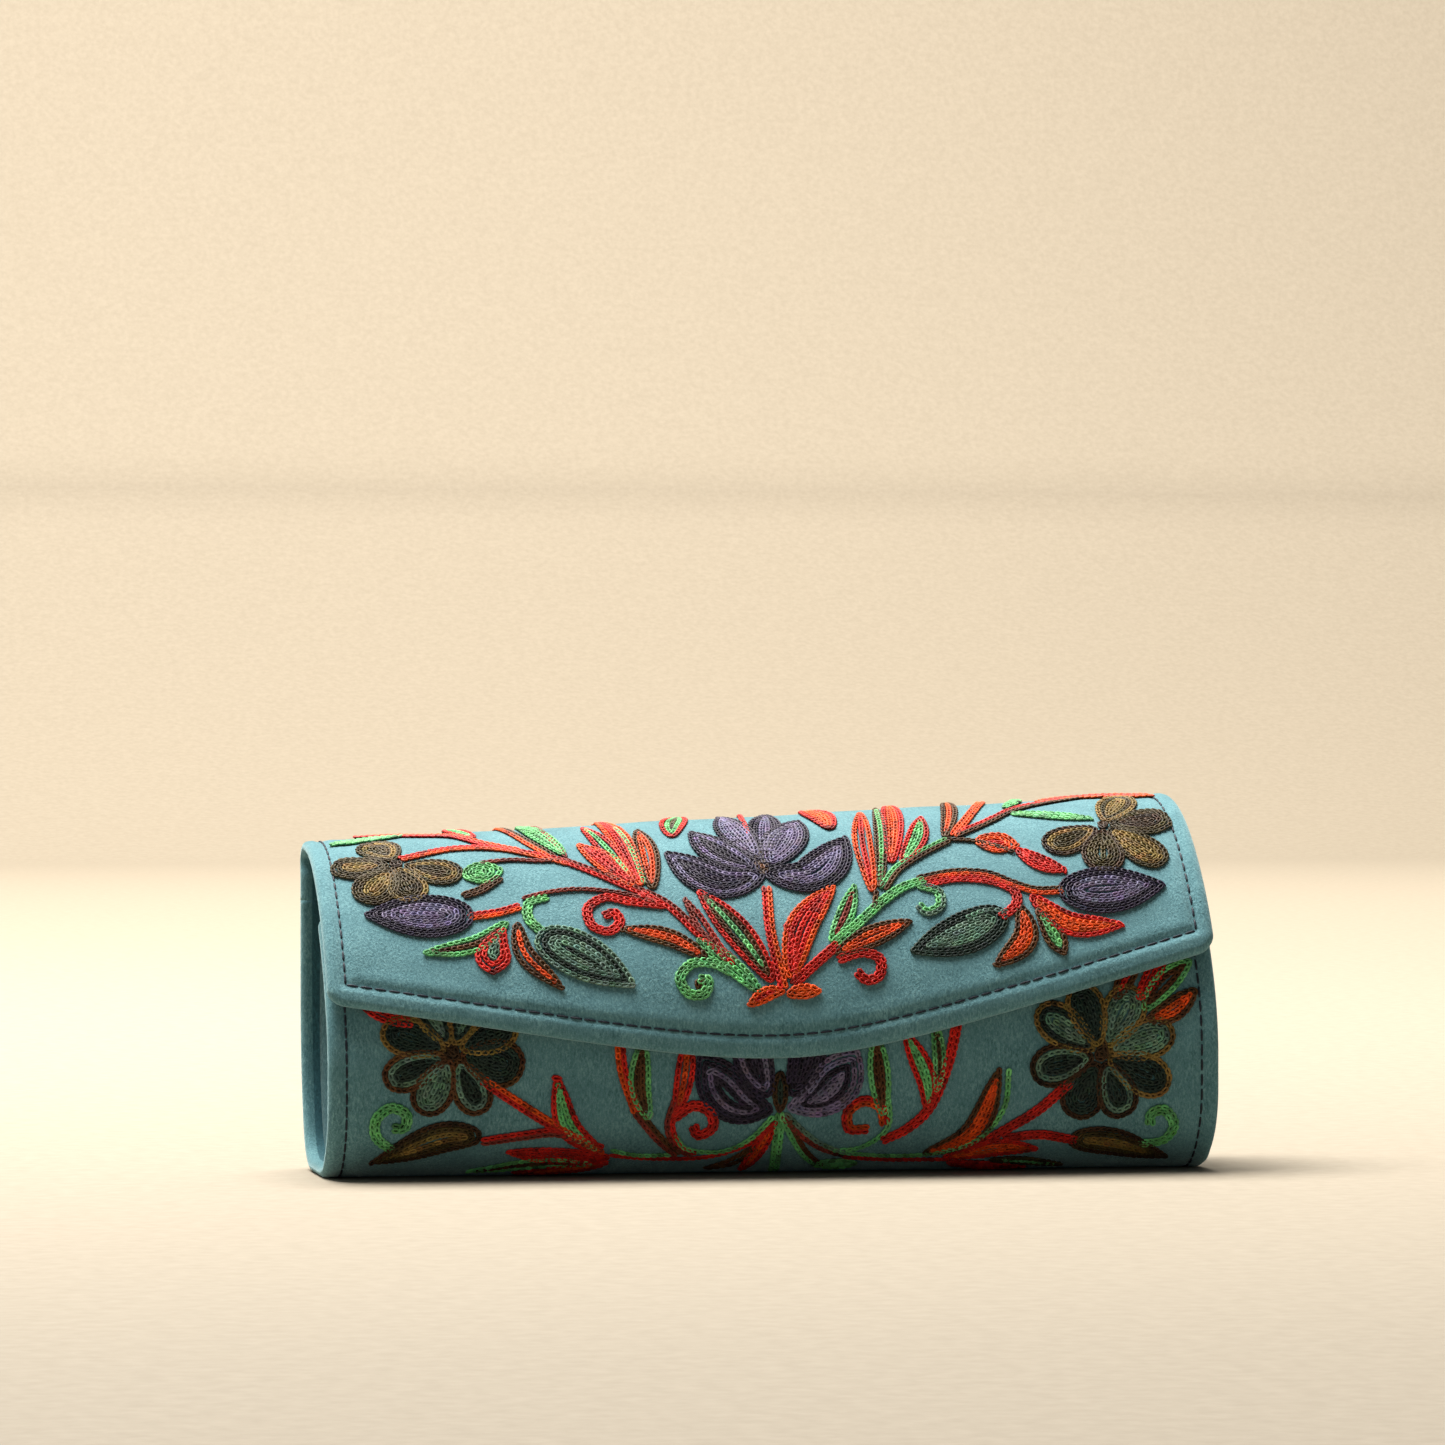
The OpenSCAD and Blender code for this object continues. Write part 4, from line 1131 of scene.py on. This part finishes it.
def clear_of_fold(motif):
    """Whether a motif of the flap keeps below the crease, so that the back wall can repeat it."""
    return all(path[:, 1].min() > 1.5 for path, _ in motif(1.0))


BACK_DESIGN = {
    thread: [motif for motif in motifs if clear_of_fold(motif)]
    for thread, motifs in FLAP_DESIGN.items()
}


def link_shape(length, row):
    """One loop of chain stitch: a drop-shaped ring of thread over a low pad. The pad is coloured
    dark in embroidery, as painted shade between the strands.

    Returns its points, its faces and how many of the points belong to the ring.
    """
    turn = np.arange(8) * math.pi / 4
    radius = 0.215 * row
    path = np.stack([
        -0.5 * length * np.cos(turn),
        0.33 * row * np.sin(turn) * (1 - 0.42 * np.cos(turn)) / 1.05,
        0.17 * row + 0.17 * row * np.sin(turn / 2) ** 2,
    ], axis=1)
    ahead = np.roll(path, -1, axis=0) - np.roll(path, 1, axis=0)
    ahead /= np.linalg.norm(ahead, axis=1, keepdims=True)
    out = np.cross(ahead, [0, 0, 1.0])
    out /= np.linalg.norm(out, axis=1, keepdims=True)
    up = np.cross(out, ahead)
    corners = [(1, 0), (0, 1), (-1, 0), (0, -1)]
    ring = np.concatenate([path + radius * (a * out + 0.9 * b * up) for a, b in corners])
    faces = [(s * 8 + i, s * 8 + (i + 1) % 8, (s + 1) % 4 * 8 + (i + 1) % 8, (s + 1) % 4 * 8 + i)
             for s in range(4) for i in range(8)]
    low, high, wide = -0.12 * row, 0.2 * row, 0.3 * row
    ends = 0.42 * length
    pad = np.array([[x, y, z] for z in (low, high)
                    for x, y in ((-ends, 0), (0, -wide), (ends, 0), (0, wide))])
    first = len(ring)
    faces += [tuple(first + i for i in quad) for quad in (
        (3, 2, 1, 0), (4, 5, 6, 7), (0, 1, 5, 4), (1, 2, 6, 5), (2, 3, 7, 6), (3, 0, 4, 7))]
    return np.concatenate([ring, pad]), faces, len(ring)


def embroidery(case, name, motifs, to_surface, looks, sizes, seed):
    """Sets the loops of chain stitch down along every row of some motifs."""
    length, pitch, row = (x / MM for x in (sizes.link, sizes.link_pitch, sizes.row))
    rng = np.random.default_rng(seed)
    places, ways, dyes, lifts = [], [], [], []
    for order, motif in enumerate(motifs):
        for path, colour in motif(row):
            line = np.stack(to_surface(path[:, 0], path[:, 1]), axis=1)
            run = PATH_STEP * (len(line) - 1)
            count = max(1, int(round(run / pitch)))
            spots, way = spread(line, count)
            places.append(spots)
            ways.append(way / (np.linalg.norm(way, axis=1, keepdims=True) + 1e-9))
            tone = rng.normal(1, 0.23, (count, 1)) + 0.12 * np.sin(np.arange(count) / 2.3)[:, None]
            tint = rng.normal(1, 0.06, (count, 3))
            dyes.append(np.array(getattr(looks, colour))[None] * tone * tint)
            lifts.append(np.full(count, 0.035 * (order % 3)) + rng.normal(0, 0.02, count))
    spots, way = np.concatenate(places), np.concatenate(ways)
    dye, lift = np.concatenate(dyes), np.concatenate(lifts)
    u, s = spots.T
    axes = case.axes_along(u, s, way, 0.35)
    shape, faces, ring = link_shape(length, row)
    grow = rng.normal(1, 0.06, len(u))
    points = copies(shape * MM, case.on_velvet(u, s, lift), axes, grow)
    starts = np.arange(len(u))[:, None, None] * len(shape)
    all_faces = (starts + np.array(faces)[None]).reshape(-1, 4).tolist()
    piece = new_piece(name, points, all_faces, material("embroidery_thread"))
    # the pad inside each loop gets a fifth of the thread's colour: painted shade between the
    # strands
    shade = np.ones(len(shape))
    shade[ring:] = 0.2
    colour = np.ones((len(u), len(shape), 4))
    colour[:, :, :3] = np.clip(dye[:, None, :] * shade[None, :, None], 0.002, 1)
    attribute = piece.data.attributes.new("dye", "FLOAT_COLOR", "POINT")
    attribute.data.foreach_set("color", colour.astype(np.float32).ravel())
    return piece


class CASE_OT_embroidery(bpy.types.Operator):
    """Makes the chain-stitch embroidery of the flap, the back wall and the front wall"""
    bl_idname = "case.embroidery"
    bl_label = "Embroidery"

    def execute(self, context):
        case = the_case(context)
        scene = context.scene
        fold, foot = ("shell", "flap", *case.flap_zone()), ("shell", "front", *case.front_zone())
        walls = {
            "flap": (FLAP_DESIGN, lambda u, v: (u, case.crown - v), fold),
            "shell": (BACK_DESIGN, lambda u, v: (-u, case.fold + v), fold),
            "front": (FRONT_DESIGN, lambda u, v: (u, case.mouth - v), foot),
        }
        for wall, (design, to_surface, bend) in walls.items():
            for number, (thread, motifs) in enumerate(design.items()):
                piece = embroidery(
                    case, f"{wall}_{thread}_chain_stitch", motifs, to_surface,
                    scene.thread_colours, scene.stitch_sizes, seed=7 * len(wall) + number)
                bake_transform(piece)
                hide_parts(f"{wall}_{thread}_embroidery")
        return {"FINISHED"}


# ---------------------------------------------------------------- topstitching


def stitch_shape(length, thread):
    """One topstitch: a short round thread that dives into the cloth at both ends."""
    rings = np.array([-1, -0.84, -0.45, 0, 0.45, 0.84, 1]) * length / 2
    radii = np.array([0.3, 0.8, 1, 1.04, 1, 0.8, 0.3]) * thread / 2
    drop = np.array([-0.7, -0.2, 0, 0.06, 0, -0.2, -0.7]) * thread
    turn = np.arange(8) * math.pi / 4
    points = np.stack([
        np.repeat(rings, 8),
        (radii[:, None] * np.cos(turn)).ravel(),
        (drop[:, None] + radii[:, None] * np.sin(turn)).ravel()], axis=1)
    faces = [(i * 8 + j, (i + 1) * 8 + j, (i + 1) * 8 + (j + 1) % 8, i * 8 + (j + 1) % 8)
             for i in range(len(rings) - 1) for j in range(8)]
    last = (len(rings) - 1) * 8
    faces.append(tuple(range(8)))
    faces.append(tuple(last + 7 - k for k in range(8)))
    return points, [face[::-1] for face in faces]


def seam(case, name, lines, first, last, sizes):
    """Topstitches along lines of [u, s], where s lies from first to last."""
    pitch = sizes.pitch / MM
    spots, ways = [], []
    for line in lines:
        line = evenly(np.array(line, float), SEAM_STEP)
        count = int(SEAM_STEP * (len(line) - 1) / pitch)
        spot, way = spread(line, count)
        keep = (spot[:, 1] > first) & (spot[:, 1] <= last)
        spots.append(spot[keep])
        ways.append(way[keep] / np.linalg.norm(way[keep], axis=1, keepdims=True))
    spots, way = np.concatenate(spots), np.concatenate(ways)
    u, s = spots.T
    axes = case.axes_along(u, s, way, 0.8)
    shape, faces = stitch_shape(sizes.length / MM, sizes.thread / MM)
    points = copies(shape * MM, case.on_velvet(u, s, 0.1), axes, np.ones(len(u)))
    starts = range(0, len(u) * len(shape), len(shape))
    all_faces = [tuple(start + i for i in face) for start in starts for face in faces]
    return new_piece(name, points, all_faces, material("topstitch_thread"))


class CASE_OT_topstitching(bpy.types.Operator):
    """Makes the rows of topstitching along the free edges"""
    bl_idname = "case.topstitching"
    bl_label = "Topstitching"

    def execute(self, context):
        case = the_case(context)
        sizes = context.scene.stitch_sizes
        side = case.half - case.inset
        reach = np.linspace(-side, side, 200)
        flap_row = np.stack([reach, case.flap_edge(reach) + case.inset + case.FLAP_HEM], axis=1)
        near, far = flap_row[0, 1], case.mouth - case.inset
        mouth_row = [(-side, far), (side, far)]
        ends = [[(u, near if u < 0 else flap_row[-1, 1]), (u, far)] for u in (-side, side)]
        lines = [flap_row, mouth_row, *ends]
        bends = {
            "flap": (-10, case.seam, ("shell", "flap", *case.flap_zone())),
            "shell": (case.seam, case.front_fold - 6, None),
            "front": (case.front_fold - 6, case.mouth, ("shell", "front", *case.front_zone())),
        }
        for wall, (first, last, bend) in bends.items():
            piece = seam(case, f"{wall}_topstitch", lines, first, last, sizes)
            if bend:
                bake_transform(piece)
            else:
                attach(piece, "shell")
            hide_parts(f"{wall}_stitching")
        return {"FINISHED"}


# ---------------------------------------------------------------- snap and hidden layers


def turned(case, name, profile, depth, finish):
    """A round piece on the snap's axis, from rings of (radius, height) starting at a flat cap."""
    place = case.crown - case.SNAP_BELOW_CREASE
    here, ahead = (case.under(np.float64(0), place, d) for d in (depth, depth + 1))
    axis = Vector(ahead - here).normalized()
    bpy.ops.object.select_all(action="DESELECT")
    radius, height = profile[0]
    bpy.ops.mesh.primitive_circle_add(
        vertices=48, radius=radius * MM, fill_type="NGON", location=(0, 0, 0))
    piece = bpy.context.object
    piece.name = name
    bpy.ops.object.mode_set(mode="EDIT")
    bpy.ops.mesh.select_all(action="SELECT")
    for new_radius, new_height in profile[1:]:
        bpy.ops.mesh.extrude_region_move(
            TRANSFORM_OT_translate={"value": (0, 0, (new_height - height) * MM)})
        share = new_radius / radius
        bpy.ops.transform.resize(value=(share, share, 1))
        radius, height = new_radius, new_height
    bpy.ops.mesh.select_all(action="SELECT")
    bpy.ops.mesh.normals_make_consistent(inside=False)
    bpy.ops.object.mode_set(mode="OBJECT")
    piece.rotation_euler = axis.to_track_quat("Z", "Y").to_euler()
    piece.location = Vector(here)
    bpy.ops.object.transform_apply(location=True, rotation=True, scale=True)
    apply_modifier(piece, "BEVEL", width=0.06 * MM, segments=2, limit_method="ANGLE")
    only(piece)
    bpy.ops.object.shade_smooth_by_angle(angle=math.radians(50))
    piece.data.materials.append(material(finish))
    return piece


class CASE_OT_snap(bpy.types.Operator):
    """Makes the two halves of the magnetic snap, and finishes the layers hidden in the walls"""
    bl_idname = "case.snap"
    bl_label = "Snap and inner layers"

    def execute(self, context):
        case = the_case(context)
        socket = turned(case, "snap_socket_cup", [
            (5.3, 0), (5.5, 0.12), (5.5, 0.5), (5.2, 0.68), (4.5, 0.78), (3.7, 0.76), (3.2, 0.66),
            (3.1, 0.5), (1.6, 0.46), (1.4, 0.4)], 2.06, "plated_steel")
        stud = turned(case, "snap_stud_cap", [
            (1.9, 0), (2.3, 0.16), (2.3, 0.6), (2.7, 0.74), (4.2, 0.78), (4.8, 0.86), (5.0, 1.02),
            (5.0, 1.18), (1.1, 1.22), (0.8, 1.3), (0.8, 1.95)], 2.2, "plated_steel")
        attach(socket, "flap")
        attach(stud, "front")
        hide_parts("snap_socket")
        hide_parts("snap_stud")
        finishes = {
            "padding": "foam_sheet", "board": "paper_board", "washer": "plated_steel",
            "magnet": "magnet_face",
        }
        for node in context.scene.objects:
            for ending, finish in finishes.items():
                if node.type == "MESH" and node.name.endswith(ending):
                    node.data.materials.clear()
                    node.data.materials.append(material(finish))
        return {"FINISHED"}


# ---------------------------------------------------------------- stage


def look_at(thing, target):
    thing.rotation_euler = (Vector(target) - thing.location).to_track_quat("-Z", "Y").to_euler()


def area_light(name, place, target, size, power, colour):
    light = bpy.data.lights.new(name, "AREA")
    light.shape, light.size, light.size_y = "RECTANGLE", size[0], size[1]
    light.energy, light.color = power, colour
    holder = bpy.data.objects.new(name, light)
    bpy.context.scene.collection.objects.link(holder)
    holder.location = place
    look_at(holder, target)


class CASE_OT_stage(bpy.types.Operator):
    """Makes the floor, the lights and the camera"""
    bl_idname = "case.stage"
    bl_label = "Stage"

    def execute(self, context):
        studio = context.scene.studio_settings
        sh = Shader("studio_floor")
        fleck = sh.noise(sh.place(), 260, 3.0, 0.6)
        dark, light = srgb(142, 133, 117), srgb(150, 141, 125)
        sh.surface(Base_Color=sh.ramp(fleck, (0.3, dark), (0.7, light)), Roughness=0.85)
        bpy.ops.object.select_all(action="DESELECT")
        size, middle = 14, -4
        bpy.ops.mesh.primitive_plane_add(size=size, location=(0, middle, 0))
        bpy.ops.object.transform_apply(location=True)
        floor = context.object
        floor.name = "studio_floor"
        bpy.ops.object.mode_set(mode="EDIT")
        bpy.ops.mesh.select_all(action="DESELECT")
        bpy.ops.object.mode_set(mode="OBJECT")
        for edge in floor.data.edges:
            ends = [floor.data.vertices[i].co.y for i in edge.vertices]
            edge.select = min(ends) > middle + size / 2 - 0.1
        bpy.ops.object.mode_set(mode="EDIT")
        bpy.ops.mesh.select_mode(type="EDGE")
        bpy.ops.mesh.extrude_region_move(TRANSFORM_OT_translate={"value": (0, 0.6, 0.5)})
        bpy.ops.mesh.extrude_region_move(TRANSFORM_OT_translate={"value": (0, 0.1, 3)})
        bpy.ops.object.mode_set(mode="OBJECT")
        apply_modifier(floor, "BEVEL", width=0.75, segments=14, limit_method="ANGLE")
        only(floor)
        bpy.ops.object.shade_smooth()
        floor.data.materials.append(sh.material)

        centre = (0, 0, 0.035)
        area_light("overhead", (-0.25, 0.36, 1.3), centre, (1.0, 0.7), 64, (1.0, 0.96, 0.915))
        area_light("window", (-1.2, 0.1, 0.45), centre, (0.5, 0.7), 1, (1.0, 0.98, 0.95))
        area_light("backdrop", (0, 1.3, 2.2), (0, 3.3, 0.7), (3.0, 0.6), 255, (1.0, 0.945, 0.88))
        world = bpy.data.worlds.new("studio_world")
        world.use_nodes = True
        world.node_tree.nodes["Background"].inputs[0].default_value = (0.88, 0.96, 1.0, 1)
        world.node_tree.nodes["Background"].inputs[1].default_value = 0.11
        context.scene.world = world

        camera = bpy.data.cameras.new("camera")
        camera.sensor_width = camera.sensor_height = 36
        camera.lens = studio.focal
        holder = bpy.data.objects.new("camera", camera)
        context.scene.collection.objects.link(holder)
        turn = studio.turn
        holder.location = (
            -studio.distance * math.sin(turn) - studio.shift_left * math.cos(turn),
            -studio.distance * math.cos(turn) + studio.shift_left * math.sin(turn) + 0.9 * MM,
            studio.eye,
        )
        holder.rotation_euler = (math.pi / 2, 0, -turn)
        context.scene.camera = holder
        context.scene.view_settings.view_transform = "Standard"
        return {"FINISHED"}


class CASE_PT_panel(bpy.types.Panel):
    """Lists the case's settings and pieces"""
    bl_label = "Spectacle Case"
    bl_idname = "CASE_PT_panel"
    bl_space_type = "VIEW_3D"
    bl_region_type = "UI"
    bl_category = "Spectacle Case"

    def draw(self, context):
        for group in SETTINGS:
            settings = getattr(context.scene, group)
            for name in settings.__annotations__:
                self.layout.prop(settings, name)
        for operator in OPERATORS:
            self.layout.operator(operator.bl_idname)


SETTINGS = {
    "case_sizes": CaseSizes,
    "stitch_sizes": StitchSizes,
    "velvet_colours": VelvetColours,
    "thread_colours": ThreadColours,
    "studio_settings": StudioSettings,
}
OPERATORS = [
    CASE_OT_stage, CASE_OT_velvet, CASE_OT_lining, CASE_OT_gussets, CASE_OT_topstitching,
    CASE_OT_embroidery, CASE_OT_snap,
]


def register():
    for group, kind in SETTINGS.items():
        bpy.utils.register_class(kind)
        setattr(bpy.types.Scene, group, bpy.props.PointerProperty(type=kind))
    for operator in OPERATORS:
        bpy.utils.register_class(operator)
    bpy.utils.register_class(CASE_PT_panel)


def unregister():
    bpy.utils.unregister_class(CASE_PT_panel)
    for operator in reversed(OPERATORS):
        bpy.utils.unregister_class(operator)
    for group, kind in reversed(SETTINGS.items()):
        delattr(bpy.types.Scene, group)
        bpy.utils.unregister_class(kind)


def run(operator):
    """Calls an operator, and stops the script if it didn't finish."""
    group, name = operator.bl_idname.split(".")
    if getattr(getattr(bpy.ops, group), name)() != {"FINISHED"}:
        raise RuntimeError(f"{operator.bl_idname} did not finish")


def main():
    register()
    for operator in OPERATORS:
        run(operator)


if __name__ == "__main__":
    main()
